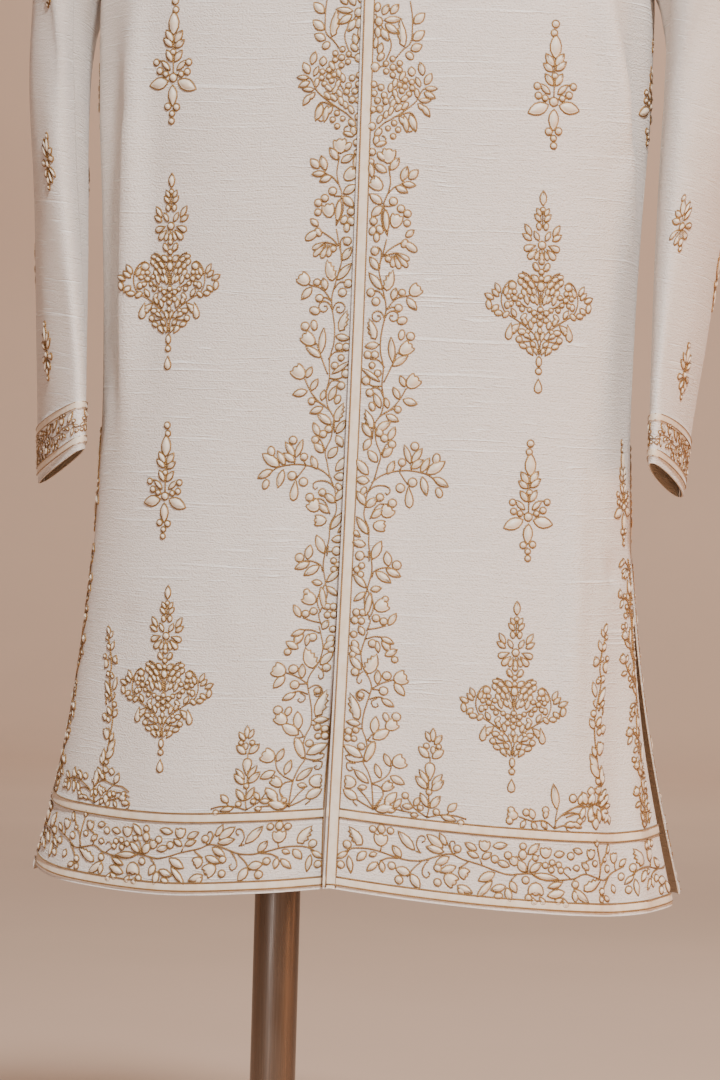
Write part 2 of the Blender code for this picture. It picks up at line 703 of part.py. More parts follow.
def wall(name, inner, outer):
    """A closed sheet of cloth between its inner and outer grids."""
    rows, columns = inner.shape[:2]
    count = rows * columns
    points = np.concatenate([inner.reshape(-1, 3), outer.reshape(-1, 3)])
    faces = quads(rows, columns, 0) + quads(rows, columns, count)
    index = np.arange(count).reshape(rows, columns)
    rim = np.concatenate([index[0], index[1:, -1], index[-1, -2::-1], index[-2:0:-1, 0]])
    for pair in zip(rim.tolist(), np.roll(rim, -1).tolist()):
        low, high = sorted(pair)  # so that two pieces split their shared seam alike
        faces.append((low, high, high + count))
        faces.append((low, high + count, low + count))
    return solid(name, points, faces)


def loft(name, rings):
    columns = len(rings[0])
    points = np.concatenate(rings)
    faces = quads(len(rings), columns, 0, wraps=True)
    faces.append(tuple(range(columns)))
    faces.append(tuple(range(len(points) - columns, len(points))))
    return solid(name, points, faces)


def paint(obj, name):
    color = MATERIALS[name]
    material = bpy.data.materials.new(obj.name)
    material.use_nodes = True
    shader = material.node_tree.nodes["Principled BSDF"]
    shader.inputs["Base Color"].default_value = (color.red, color.green, color.blue, 1)
    shader.inputs["Roughness"].default_value = color.roughness
    shader.inputs["Metallic"].default_value = color.metallic
    obj.data.materials.append(material)


for leftover in list(bpy.data.objects):
    bpy.data.objects.remove(leftover)
collection = bpy.data.collections.new("sherwani_coat_on_dress_form")
bpy.context.scene.collection.children.link(collection)

edge_x = closing("edge_x")
lap = closing("lap")
coat = [
    front_panel("front_left_panel", "front_left", edge_x, True),
    front_panel("front_right_panel", "front_right", lambda h: -edge_x(h) - lap(h), False),
    back_panel(),
    collar(),
]
for side_name, side in (("left", 1), ("right", -1)):
    upper = f"sleeve_{side_name}_upper"
    under = f"sleeve_{side_name}_under"
    coat.append(sleeve_piece(upper, side, BACK_SEAM - 2 * math.pi, FRONT_SEAM, UPPER_COLUMNS))
    coat.append(sleeve_piece(under, side, FRONT_SEAM, BACK_SEAM, UNDER_COLUMNS))
for piece in coat:
    paint(piece, "ivory_silk")
paint(form(), "form_cloth")

form_underside = z_of(FORM_BOTTOM)
flange_top = form_underside - SEAM_GAP
flange_bottom = flange_top - FLANGE_THICKNESS
foot_profile = [
    (FOOT_RADIUS - 0.002, 0.0),
    (FOOT_RADIUS, 0.002),
    (FOOT_RADIUS, FOOT_THICKNESS - 0.002),
    (FOOT_RADIUS - 0.002, FOOT_THICKNESS),
    (FOOT_BOSS_RADIUS, FOOT_THICKNESS),
    (FOOT_BOSS_RADIUS, FOOT_BOSS_TOP - 0.002),
    (FOOT_BOSS_RADIUS - 0.002, FOOT_BOSS_TOP),
    (POLE_RADIUS + SEAM_GAP, FOOT_BOSS_TOP),
    (POLE_RADIUS + SEAM_GAP, POLE_SOCKET),
]
steel = [
    turned("pole_flange", [
        (FLANGE_RADIUS - 0.001, flange_bottom),
        (FLANGE_RADIUS, flange_bottom + 0.001),
        (FLANGE_RADIUS, flange_top - 0.001),
        (FLANGE_RADIUS - 0.001, flange_top),
    ]),
    turned("pole", [
        (POLE_RADIUS - 0.001, POLE_SOCKET + SEAM_GAP),
        (POLE_RADIUS, POLE_SOCKET + SEAM_GAP + 0.001),
        (POLE_RADIUS, flange_bottom - SEAM_GAP - 0.001),
        (POLE_RADIUS - 0.001, flange_bottom - SEAM_GAP),
    ]),
    turned("foot", foot_profile),
]
for piece in steel:
    paint(piece, "steel")
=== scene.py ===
import math
import bpy
import numpy as np
from mathutils import Matrix, Vector


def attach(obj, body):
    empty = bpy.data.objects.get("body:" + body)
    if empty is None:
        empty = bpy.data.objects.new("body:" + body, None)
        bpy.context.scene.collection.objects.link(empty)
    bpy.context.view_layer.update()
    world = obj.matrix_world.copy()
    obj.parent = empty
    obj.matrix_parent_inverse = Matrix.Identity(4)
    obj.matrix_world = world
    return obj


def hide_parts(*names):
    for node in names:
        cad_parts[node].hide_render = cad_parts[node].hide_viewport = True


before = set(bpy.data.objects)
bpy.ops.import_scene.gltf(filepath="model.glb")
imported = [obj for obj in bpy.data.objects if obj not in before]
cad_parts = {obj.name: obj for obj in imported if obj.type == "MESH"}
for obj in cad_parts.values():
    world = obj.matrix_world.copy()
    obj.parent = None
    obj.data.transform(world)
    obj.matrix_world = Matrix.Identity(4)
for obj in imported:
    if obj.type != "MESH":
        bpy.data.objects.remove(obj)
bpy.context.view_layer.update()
join, stack = np.concatenate, np.stack
mm = 0.001
quarter, fullTurn = math.pi / 2, 2 * math.pi
chance = np.random.default_rng(11)

# camera
view = {
    "distance": 3.0,
    "azimuth": 7.0,    # degrees round from straight in front
    "height": 0.771,
    "lens": 114.0,     # on a 36 mm long side
    "aside": 0.034,    # degrees turned to the left
    "roll": 1.6,
}


def makeCamera():
    turn = math.radians(view["azimuth"])
    data = bpy.data.cameras.new("camera")
    data.lens = view["lens"]
    obj = bpy.data.objects.new("camera", data)
    bpy.context.scene.collection.objects.link(obj)
    across, away = view["distance"] * math.sin(turn), -view["distance"] * math.cos(turn)
    place = Matrix.Translation((across, away, view["height"]))
    heading = Matrix.Rotation(turn + math.radians(view["aside"]), 4, "Z") @ Matrix.Rotation(quarter, 4, "X")
    obj.matrix_world = place @ heading @ Matrix.Rotation(math.radians(view["roll"]), 4, "Z")
    bpy.context.scene.camera = obj


makeCamera()
print("camera placed")


# tables and curves
def numbers(text):  # rows parted by commas, the numbers in them by spaces
    return [[float(n) for n in row.split()] for row in text.split(",")]


def table(columns, text):  # each column's name -> its values
    return dict(zip(columns.split(), np.array(numbers(text)).T))


def smooth(rows, key, name, at):  # a cubic through one column that never overshoots
    x, y = rows[key], rows[name]
    at = np.clip(np.asarray(at, float), x[0], x[-1])
    step = np.diff(x)
    slope = np.diff(y) / step
    before, after = slope[:-1], slope[1:]
    turning = before * after <= 0
    shared = (2 * step[1:] + step[:-1]) / np.where(turning, 1, before)
    shared = shared + (step[1:] + 2 * step[:-1]) / np.where(turning, 1, after)
    inner = np.where(turning, 0, 3 * (step[:-1] + step[1:]) / np.where(turning, 1, shared))
    tangent = join([slope[:1], inner, slope[-1:]])
    i = np.clip(np.searchsorted(x, at, side="right") - 1, 0, len(step) - 1)
    h = step[i]
    t = (at - x[i]) / h
    start = y[i] * (1 + 2 * t) * (1 - t) ** 2 + tangent[i] * h * t * (1 - t) ** 2
    return start + y[i + 1] * t * t * (3 - 2 * t) + tangent[i + 1] * h * t * t * (t - 1)


def easeStep(t):  # 0 to 1, level at both ends
    t = np.clip(t, 0, 1)
    return t * t * (3 - 2 * t)


def unit(v):
    return v / np.maximum(np.linalg.norm(v, axis=-1, keepdims=True), 1e-12)


def runningLength(points):  # how far along its own row each point lies
    steps = np.linalg.norm(np.diff(points, axis=-2), axis=-1)
    return join([np.zeros_like(steps[..., :1]), np.cumsum(steps, axis=-1)], -1)


# the coat's sizes, in metres; heights are above the hem
coat = {
    "hemAboveFloor": 0.46,
    "cloth": 1.5 * mm,
    "seamGap": 0.3 * mm,
    "edgeRoll": 0.1 * mm,      # a turned edge bulges by this
    "cell": 6.0 * mm,
    "bandWidth": 9 * mm,
    "bandRelief": 0.9 * mm,
    "bandSide": 1.2 * mm,      # the width of its rounded sides
    "bandFade": 0.01,          # the front band sinks away over this, below the neck pit
    "edgeMargin": 1.5 * mm,
    "hemBands": (2 * mm, 61 * mm),
    "cuffBands": (7 * mm, 46 * mm),
    "shoulder": 0.975,
    "armpit": 0.79,
    "armholeFront": 0.06,
    "armholeBack": 0.068,
    "neckHalfWidth": 0.066,
    "neckFront": 0.0765,
    "neckBack": 0.07,
    "neckPit": 0.94,
    "neckLowest": 0.9,         # no point of the neckline lies lower
    "slit": 0.316,
    "slitFlare": 0.006,        # how far the back's free edges stand out, and over what width
    "slitFlareReach": 0.06,
    "hemFade": 0.3,
    "lapRaise": 4.4 * mm,      # the upper front's rise over the lower, in full past lapFlat
    "lapFlat": 0.02,
    "lapSlope": 0.04,
    "lapGap": 0.5 * mm,
}
bodySections = table("height halfWidth front back squareness", """
    0 0.279 0.148 0.148 2.25, 0.07 0.2635 0.142 0.142 2.3, 0.155 0.2495 0.134 0.135 2.35,
    0.245 0.2395 0.127 0.129 2.4, 0.33 0.233 0.121 0.122 2.45, 0.42 0.2305 0.117 0.112 2.5,
    0.505 0.232 0.116 0.105 2.5, 0.595 0.2355 0.118 0.105 2.5, 0.685 0.24 0.122 0.11 2.5, 0.77 0.2415 0.124 0.116 2.5,
    0.835 0.237 0.119 0.12 2.5, 0.882 0.23 0.109 0.119 2.5, 0.92 0.2245 0.089 0.114 2.5, 0.945 0.221 0.074 0.108 2.5,
    0.975 0.216 0.063 0.095 2.5, 0.988 0.1714 0.058 0.083 2.4, 1.002 0.1234 0.051 0.07 2.3,
    1.017 0.072 0.042 0.05 2.2, 1.019 0.0655 0.038 0.045 2.2""")
bodyTop = bodySections["height"][-1]
hemLifts = {
    "frontLeft": table("across lift", "0 0.02, 0.06 0.013, 0.15 0.005, 0.25 0, 0.33 0.003"),
    "frontRight": table("across lift", "0 0.02, 0.06 0.013, 0.15 0.007, 0.25 0.011, 0.33 0.02"),
    "back": table("across lift", "0 0.008, 0.2 0.007, 0.33 0.01"),
}
closings = table("height edge lap slitFront slitBack", """
    0 -0.006 0.008 0.007 0.001, 0.08 -0.005 0.006 0.006 0.001, 0.14 -0.0042 0.0075 0.0045 0.0008,
    0.185 -0.0036 0.009 0.003 0.0006, 0.316 -0.002 0.012 0 0, 0.77 0.003 0.012 0 0, 1.019 0.004 0.011 0 0""")
# one soft fold a row: distance round from the middle, where it starts and ends, depth (a minus is a trough)
bodyFolds = {
    "frontLeft": table("across low high depth width", """
        0.3 0 0.42 -0.004 0.03, 0.252 0 0.42 -0.0085 0.034, 0.262 0.3 0.62 -0.005 0.036, 0.198 0.04 0.44 0.006 0.02,
        0.12 0 0.3 0.002 0.08"""),
    "frontRight": table("across low high depth width", """
        0.204 0.34 0.84 0.0105 0.026, 0.207 0.36 0.6 0.003 0.012, 0.202 0.56 0.84 0.003 0.012,
        0.24 0.33 0.86 -0.0095 0.034, -0.002 0.02 0.22 -0.009 0.024, 0.004 0 0.62 -0.0075 0.046,
        0.062 0 0.56 0.0022 0.04, 0.205 0 0.3 -0.003 0.056, 0.12 0 0.28 0.002 0.07"""),
    "back": table("across low high depth width", """
        -0.19 0 0.42 0.006 0.07, -0.095 0 0.36 -0.005 0.07, 0.015 0 0.44 0.006 0.08, 0.11 0 0.34 -0.005 0.07,
        0.205 0 0.4 0.006 0.07, -0.12 0.44 0.66 -0.004 0.09, 0.12 0.44 0.66 -0.004 0.09"""),
}
# one slanting crease a row, from one point of the cloth to another, a trough or a ridge
bodyCreases = {
    "frontLeft": table("across1 height1 across2 height2 depth width", """
        0.231 0.312 0.262 0.262 -0.006 0.012, 0.236 0.262 0.264 0.282 0.003 0.008, 0.205 0.61 0.262 0.68 -0.002 0.018,
        0.085 0.17 0.06 0.3 0.0012 0.026, 0.192 0.86 0.262 0.54 0.0125 0.021, 0.222 0.84 0.29 0.58 -0.0095 0.03,
        0.236 0.7 0.246 0.64 -0.003 0.01, 0.1 0.8 0.19 0.77 -0.0014 0.022"""),
    "frontRight": table("across1 height1 across2 height2 depth width", """
        0.218 0.215 0.185 0.255 -0.002 0.016, 0.088 0.18 0.1 0.3 0.0014 0.024, 0.195 0.7 0.24 0.64 -0.0018 0.018,
        0.232 0.5 0.246 0.36 0.0014 0.016, 0.1 0.79 0.185 0.765 -0.0014 0.022"""),
    "back": table("across1 height1 across2 height2 depth width", """
        -0.235 0.56 -0.15 0.5 -0.002 0.02, 0.225 0.6 0.15 0.52 -0.0022 0.02, -0.19 0.76 -0.11 0.7 0.0016 0.022,
        0.19 0.77 0.12 0.69 0.0016 0.022, -0.06 0.47 0.05 0.45 -0.0014 0.02, 0.24 0.3 0.215 0.2 -0.002 0.018,
        -0.245 0.31 -0.225 0.19 -0.0018 0.018"""),
}


def zOf(height):
    return coat["hemAboveFloor"] + height


# the body: level sections, each a superellipse with its own depth in front and behind
def section(height):
    return [smooth(bodySections, "height", name, height) for name in ("halfWidth", "front", "back", "squareness")]


def bodyPoint(angle, height):  # angle 0 at the +X side, -90 degrees in front
    halfWidth, front, back, squareness = section(height)
    c, s = np.cos(angle), np.sin(angle)
    x = halfWidth * np.sign(c) * np.abs(c) ** (2 / squareness)
    y = np.where(s < 0, front, back) * np.sign(s) * np.abs(s) ** (2 / squareness)
    return stack(np.broadcast_arrays(x, y, zOf(height)), -1)


def bodyNormal(angle, height):  # square to the way round and to the way up
    turn, rise = 4e-3, 6e-4
    across = bodyPoint(angle + turn, height) - bodyPoint(angle - turn, height)
    up = bodyPoint(angle, np.minimum(height + rise, bodyTop)) - bodyPoint(angle, np.maximum(height - rise, 0))
    return unit(np.cross(across, up))


def angleAtX(x, height):  # where a level section in front is this far across
    halfWidth, _, _, squareness = section(height)
    return -np.arccos(np.sign(x) * np.abs(x / halfWidth) ** (squareness / 2))


def angleAtY(y, height):  # where its +X side is this far back
    _, front, back, squareness = section(height)
    depth = np.where(np.asarray(y) < 0, front, back)
    return np.sign(y) * np.arcsin(np.clip(np.abs(y / depth) ** (squareness / 2), 0, 1))


def neckline(turn):  # where an upright oval round the neck meets the body, by halving the height's range
    turn = np.atleast_1d(turn)
    x = coat["neckHalfWidth"] * np.sin(turn)
    y = -np.cos(turn) * np.where(np.cos(turn) > 0, coat["neckFront"], coat["neckBack"])
    low, high = np.full(x.shape, coat["neckLowest"]), np.full(x.shape, bodyTop)
    for _ in range(40):
        height = (low + high) / 2
        halfWidth, front, back, squareness = section(height)
        depth = np.where(y < 0, front, back)
        inside = np.abs(x / halfWidth) ** squareness + np.abs(y / depth) ** squareness < 1
        low, high = np.where(inside, height, low), np.where(inside, high, height)
    c = np.sign(x) * np.abs(x / halfWidth) ** (squareness / 2)
    s = np.sign(y) * np.abs(y / depth) ** (squareness / 2)
    return stack([np.arctan2(s, c), height], -1)


def armhole(turn, side):  # half an oval on the side of the body: turn 0 at the shoulder, 180 at the armpit
    middle, half = (coat["shoulder"] + coat["armpit"]) / 2, (coat["shoulder"] - coat["armpit"]) / 2
    reach = coat["armholeFront"] if side < 0 else coat["armholeBack"]
    height = middle + half * np.cos(turn)
    depth = np.maximum(reach * np.abs(np.sin(turn)), coat["seamGap"] / 2)
    return stack([angleAtY(side * depth, height), height], -1)


tableStep = 2 * mm
tableHeights = np.arange(0, bodyTop, tableStep)


def roundTable(start):  # distance round each level section from the middle to every angle
    angles = np.linspace(start, 0, 420)
    a, h = np.meshgrid(angles, tableHeights)
    return angles, runningLength(bodyPoint(a, h))


frontRound, backRound = roundTable(-quarter), roundTable(quarter)


def readGrid(grid, row, column):  # straight-line reading between the four nearest values
    row = np.clip(row, 0, grid.shape[0] - 1.001)
    column = np.clip(column, 0, grid.shape[1] - 1.001)
    i, j = row.astype(int), column.astype(int)
    a, b = row - i, column - j
    if grid.ndim > 2:
        a, b = a[..., None], b[..., None]
    low = grid[i, j] * (1 - b) + grid[i, j + 1] * b
    return low * (1 - a) + (grid[i + 1, j] * (1 - b) + grid[i + 1, j + 1] * b) * a


def roundFrom(measured, angle, height):
    angles, distances = measured
    step = angles[1] - angles[0]
    return readGrid(distances, height / tableStep, (angle - angles[0]) / step)


def signedRound(measured, angle, height):  # the same, a minus past the middle of the front
    past = angle < -quarter
    return np.where(past, -1, 1) * roundFrom(measured, np.where(past, -math.pi - angle, angle), height)


def foldsAt(panel, across, height):  # the sum of soft bumps, each fading at its ends
    total = np.zeros_like(across)
    for a, low, high, depth, width in zip(*bodyFolds[panel].values()):
        away = np.abs(height - (low + high) / 2) / ((high - low) / 2) if low > 0 else height / high
        total += depth * easeStep(1 - np.abs(across - a) / width) * easeStep(1 - away)
    for a1, h1, a2, h2, depth, width in zip(*bodyCreases[panel].values()):
        length = math.hypot(a2 - a1, h2 - h1)
        along = ((across - a1) * (a2 - a1) + (height - h1) * (h2 - h1)) / length ** 2
        aside = ((across - a1) * (h2 - h1) - (height - h1) * (a2 - a1)) / length
        total += depth * easeStep(1 - np.abs(aside) / width) * easeStep(1 - np.abs(2 * along - 1))
    return total


def hemLift(panel, across, height):
    return smooth(hemLifts[panel], "across", "lift", np.abs(across)) * easeStep(1 - height / coat["hemFade"])


def closing(name, height):
    return smooth(closings, "height", name, height)


def lapRaise(x):  # the upper front stands off the body to clear the under front
    return coat["lapRaise"] * easeStep((coat["lapFlat"] + coat["lapSlope"] - x) / coat["lapSlope"])


def startLeft(height):
    return closing("edge", height)


def startRight(height):
    return -closing("edge", height) - closing("lap", height)


def frontSurface(panel, angle, height, across):  # inner side of a front, as if on +X, and the way out
    normal = bodyNormal(angle, height)
    base = bodyPoint(angle, height)
    offset = foldsAt(panel, across, height)
    if panel == "frontLeft":
        offset = offset + lapRaise(base[..., 0])
    inner = base + normal * offset[..., None]
    inner[..., 2] += hemLift(panel, across, height)
    return inner, normal


def backSurface(side, angle, height, across, fromEdge):  # half the back; its free edge stands out a little
    openShare = easeStep(1 - height / coat["slit"])
    flare = coat["slitFlare"] * easeStep(1 - fromEdge / coat["slitFlareReach"]) * openShare
    normal = bodyNormal(angle, height)
    offset = foldsAt("back", side * across, height) + flare
    inner = bodyPoint(angle, height) + normal * offset[..., None]
    inner[..., 2] += hemLift("back", across, height)
    return inner * (side, 1, 1), normal * (side, 1, 1)


# meshes
def makeMesh(name, points, groups, materials):  # groups is [(faces, uvs, material index), ...]
    loops = join([f.reshape(-1) for f, _, _ in groups])
    sizes = join([np.full(len(f), f.shape[1]) for f, _, _ in groups])
    uvs = join([np.asarray(uv, float).reshape(-1, 2) for _, uv, _ in groups])
    slots = join([np.full(len(f), m) if np.isscalar(m) else m for f, _, m in groups])
    mesh = bpy.data.meshes.new(name)
    mesh.vertices.add(len(points))
    mesh.vertices.foreach_set("co", np.asarray(points, np.float32).reshape(-1))
    mesh.loops.add(len(loops))
    mesh.loops.foreach_set("vertex_index", loops.astype(np.int32))
    mesh.polygons.add(len(sizes))
    mesh.polygons.foreach_set("loop_start", join([[0], np.cumsum(sizes)[:-1]]).astype(np.int32))
    mesh.update(calc_edges=True)
    for material in materials:
        mesh.materials.append(material)
    mesh.polygons.foreach_set("material_index", slots.astype(np.int32))
    mesh.uv_layers.new(name="UVMap").data.foreach_set("uv", uvs.astype(np.float32).reshape(-1))
    mesh.shade_smooth()
    obj = bpy.data.objects.new(name, mesh)
    bpy.context.scene.collection.objects.link(obj)
    return obj


def gridFaces(rows, columns, wraps=False):  # four-sided faces between neighbouring rows and columns
    i, j = np.meshgrid(np.arange(rows - 1), np.arange(columns if wraps else columns - 1), indexing="ij")
    k = (j + 1) % columns
    low, high = i * columns, (i + 1) * columns
    return stack([low + j, low + k, high + k, high + j], -1).reshape(-1, 4)


# a sheet with an inner and an outer side; a middle row of points round its rim rolls the edge
def wall(name, inner, outer, uv, bandFaces=None, flip=False):
    rows, columns = inner.shape[:2]
    count = rows * columns
    index = np.arange(count).reshape(rows, columns)
    rim = join([index[0], index[1:, -1], index[-1, -2::-1], index[-2:0:-1, 0]])
    within = join([index[1], index[1:, -2], index[-2, -2::-1], index[-2:0:-1, 1]])
    insides, outsides = inner.reshape(-1, 3), outer.reshape(-1, 3)
    middle = (insides + outsides) / 2
    roll = middle[rim] + unit(middle[rim] - middle[within]) * coat["edgeRoll"]
    points = join([insides, outsides, roll])
    grid = gridFaces(rows, columns)
    order = np.arange(len(rim))
    after = np.roll(order, -1)
    mid = 2 * count + order
    midAfter = 2 * count + after
    lower = stack([rim[after], rim, mid, midAfter], -1)
    upper = stack([midAfter, mid, rim + count, rim[after] + count], -1)
    flat = uv.reshape(-1, 2)
    rimUv = stack([flat[rim[after]], flat[rim], flat[rim], flat[rim[after]]], 1)
    outFaces, inFaces = grid + count, grid[:, ::-1]
    outUv, inUv = flat[grid], flat[grid[:, ::-1]]
    if flip:
        outFaces, inFaces, lower, upper = outFaces[:, ::-1], inFaces[:, ::-1], lower[:, ::-1], upper[:, ::-1]
        outUv, inUv, rimUv = outUv[:, ::-1], inUv[:, ::-1], rimUv[:, ::-1]
    slots = np.zeros(len(grid)) if bandFaces is None else np.where(bandFaces.reshape(-1), 2, 0)
    groups = [(outFaces, outUv, slots), (inFaces, inUv, 1), (lower, rimUv, 1), (upper, rimUv, 0)]
    return makeMesh(name, points, groups, [silk, shadedSilkInside, satinBand])


def openArea(points):  # area of one side of a grid, for the cut's size
    a, b = points[1:, 1:] - points[:-1, :-1], points[1:, :-1] - points[:-1, 1:]
    return float(np.linalg.norm(np.cross(a, b), axis=-1).sum() / 2)


def bandHeight(distance, bands):  # raised satin bands with rounded sides
    relief = np.zeros_like(distance)
    for low in bands:
        rise = np.minimum(distance - low, low + coat["bandWidth"] - distance) / coat["bandSide"]
        relief = np.maximum(relief, np.sqrt(np.clip(rise + 1e-6, 0, 1)))
    return relief * coat["bandRelief"]


def facesOnBand(relief):  # the faces whose four corners all lie on a band
    on = relief > 0.2 * coat["bandRelief"]
    return on[1:, 1:] & on[:-1, :-1] & on[1:, :-1] & on[:-1, 1:]


def bandStations(bands):  # where the rows of points lie across each band, close together at its sides
    across = np.array([0, 0.3, 0.8, 1.4, 3, 4.5, 6, 7.6, 8.2, 8.7, 9]) / 9
    return [low + share * coat["bandWidth"] for low in bands for share in across]


def spaced(values, least=0.25 * mm):  # sorted, with values that lie closer than least left out
    values = np.sort(np.asarray(values))
    kept = [values[0]]
    for value in values[1:]:
        if value - kept[-1] >= least:
            kept.append(value)
    return np.array(kept)


# materials
finish = {
    "silk": (0.765, 0.69, 0.625),
    # the silk's wrong side: its own colour darkened with painted shade, for inside the cuffs and behind the slit
    "shadedSilkInside": (0.45, 0.34, 0.235),
    "slub": (0.55, 0.42, 0.31),
    "slubPaintedHighlight": (0.95, 0.9, 0.84),
    "satin": (0.78, 0.67, 0.54),
    # one gold in two tones: dark as painted shade between the cord's plies, bright as a painted highlight on them
    "gold": (0.18, 0.082, 0.016),
    "goldPlyHighlight": (0.56, 0.315, 0.1),
    "form": (0.6, 0.565, 0.51),
    "steel": (0.2, 0.155, 0.125),
}


def darker(color, share):  # each channel times the share
    return tuple(c * share for c in color)


class Shader:  # a material's nodes, joined by short calls
    def __init__(self, name, roughness, **settings):
        self.material = bpy.data.materials.new(name)
        self.material.use_nodes = True
        self.tree = self.material.node_tree
        self.surface = self.tree.nodes["Principled BSDF"]
        self.surface.inputs["Roughness"].default_value = roughness
        for socket, value in settings.items():
            self.surface.inputs[socket.replace("_", " ")].default_value = value

    def node(self, kind, inputs=None, **settings):
        made = self.tree.nodes.new("ShaderNode" + kind)
        for key, value in settings.items():
            setattr(made, key, value)
        for key, value in (inputs or {}).items():
            if isinstance(value, bpy.types.NodeSocket):
                self.tree.links.new(value, made.inputs[key])
            else:
                made.inputs[key].default_value = value
        return made

    def noise(self, vector, scale, detail=2.0, roughness=0.5):  # noise stretched by a mapping's scale
        placed = self.node("Mapping", {"Vector": vector, "Scale": scale})
        settings = {"Vector": placed.outputs[0], "Scale": 1.0, "Detail": detail, "Roughness": roughness}
        return self.node("TexNoise", settings).outputs[0]

    def band(self, value, low, high, to=(0.0, 1.0)):
        inputs = {"Value": value, "From Min": low, "From Max": high, "To Min": to[0], "To Max": to[1]}
        return self.node("MapRange", inputs, interpolation_type="SMOOTHSTEP").outputs[0]

    def maths(self, operation, a, b):
        return self.node("Math", {0: a, 1: b}, operation=operation).outputs[0]

    def mix(self, share, first, second):
        made = self.node("Mix", data_type="RGBA")
        for socket, value in ((made.inputs[0], share), (made.inputs[6], first), (made.inputs[7], second)):
            if isinstance(value, bpy.types.NodeSocket):
                self.tree.links.new(value, socket)
            elif isinstance(value, tuple):
                socket.default_value = (*value, 1)
            else:
                socket.default_value = value
        return made.outputs[2]

    def bump(self, height, distance, strength=1.0):
        made = self.node("Bump", {"Height": height, "Distance": distance, "Strength": strength})
        self.tree.links.new(made.outputs[0], self.surface.inputs["Normal"])

    def paint(self, color):
        self.tree.links.new(color, self.surface.inputs["Base Color"])

    def rough(self, value):
        self.tree.links.new(value, self.surface.inputs["Roughness"])


# raw silk: a fine grain, ribs of uneven weft all over, and long slubs that stand out here and there, painted lighter
# as a highlight on their raised tops
rawSilk = {
    "relief": 0.85 * mm,
    "slubs": 0.75,      # shares of the relief
    "ribs": 0.7,
    "weft": 0.5,
    "grain": 1.6,
    "weftShade": 0.12,  # how much of the darker colour the weft and the grain carry
    "grainShade": 0.36,
    "roughness": (0.62, 0.48),   # beside a slub, and on it
}


def silkMaterial(name, base, slubHighlightShare, sheen):
    shader = Shader(name, rawSilk["roughness"][0], Sheen_Weight=sheen, Sheen_Roughness=0.35, Specular_IOR_Level=0.35)
    uv = shader.node("UVMap", uv_map="UVMap").outputs[0]
    drift = shader.noise(uv, (7, 9, 1), 1.0)
    wander = shader.node("CombineXYZ", {"Y": shader.maths("MULTIPLY", drift, 0.012)}).outputs[0]
    laid = shader.node("VectorMath", {0: uv, 1: wander}, operation="ADD").outputs[0]
    short = shader.band(shader.noise(laid, (22, 340, 1), 1.0), 0.63, 0.73)
    long = shader.band(shader.noise(laid, (6, 270, 1), 1.0), 0.65, 0.73)
    patches = shader.band(shader.noise(uv, (5, 15, 1), 1.0), 0.38, 0.62, (0.25, 1.0))
    slubs = shader.maths("MULTIPLY", shader.maths("MAXIMUM", short, long), patches)
    ribs = shader.noise(laid, (14, 420, 1), 2.0, 0.6)
    weft = shader.noise(laid, (90, 900, 1), 2.0, 0.6)
    grain = shader.noise(uv, (620, 620, 1), 2.0, 0.65)
    cloudy = shader.noise(uv, (16, 28, 1), 3.0)
    color = shader.mix(shader.band(cloudy, 0.3, 0.7, (0.0, 0.35)), base, darker(base, 0.93))
    color = shader.mix(shader.band(weft, 0.45, 0.75, (0.0, rawSilk["weftShade"])), color, finish["slub"])
    color = shader.mix(shader.band(grain, 0.45, 0.72, (0.0, rawSilk["grainShade"])), color, finish["slub"])
    # painted highlight: the slubs are mixed towards a lighter colour
    color = shader.mix(shader.maths("MULTIPLY", slubs, slubHighlightShare), color, finish["slubPaintedHighlight"])
    shader.paint(color)
    height = shader.maths("MULTIPLY", slubs, rawSilk["slubs"])
    for layer, share in ((ribs, "ribs"), (weft, "weft"), (grain, "grain")):
        height = shader.maths("ADD", height, shader.maths("MULTIPLY", layer, rawSilk[share]))
    shader.bump(height, rawSilk["relief"])
    shader.rough(shader.band(slubs, 0.0, 1.0, rawSilk["roughness"]))
    return shader.material


def goldMaterial():  # twisted cord: slanting plies painted from shade in their grooves to a highlight on their tops
    shader = Shader("goldThread", 0.42, Metallic=0.35, Sheen_Weight=0.15)
    uv = shader.node("UVMap", uv_map="UVMap").outputs[0]
    placed = shader.node("Mapping", {"Vector": uv, "Scale": (320, 420, 1)})
    ply = shader.node("TexWave", {"Vector": placed.outputs[0], "Scale": 1.0, "Distortion": 1.2, "Detail": 1.0},
                      bands_direction="DIAGONAL").outputs[1]
    tone = shader.noise(uv, (90, 90, 1), 2.0)
    share = shader.maths("MULTIPLY", shader.band(ply, 0.25, 0.9), shader.band(tone, 0.3, 0.7, (0.35, 1.0)))
    shader.paint(shader.mix(share, finish["gold"], finish["goldPlyHighlight"]))
    shader.bump(ply, 0.3 * mm, 0.7)
    return shader.material


def satinMaterial(name, color, across):  # floats of floss laid side by side, in their own direction
    shader = Shader(name, 0.4, Sheen_Weight=0.35, Sheen_Roughness=0.3, Specular_IOR_Level=0.55)
    uv = shader.node("UVMap", uv_map="UVMap").outputs[0]
    floss = shader.noise(uv, across, 2.0, 0.6)
    tone = shader.noise(uv, (120, 60, 1), 2.0)
    warm = tuple(c * s for c, s in zip(color, (0.93, 0.87, 0.78)))
    shade = shader.mix(shader.band(tone, 0.35, 0.7), color, warm)
    shader.paint(shader.mix(shader.band(floss, 0.5, 0.8, (0.0, 0.35)), shade, finish["slub"]))
    shader.bump(floss, 0.25 * mm, 0.8)
    return shader.material


def formMaterial():  # close jersey over the form
    shader = Shader("formJersey", 0.86, Sheen_Weight=0.25)
    place = shader.node("TexCoord").outputs["Object"]
    knit = shader.noise(place, (900, 900, 520), 2.0)
    tone = shader.noise(place, (9, 9, 6), 3.0)
    shader.paint(shader.mix(shader.band(tone, 0.3, 0.7), finish["form"], darker(finish["form"], 0.9)))
    shader.bump(knit, 0.3 * mm)
    return shader.material


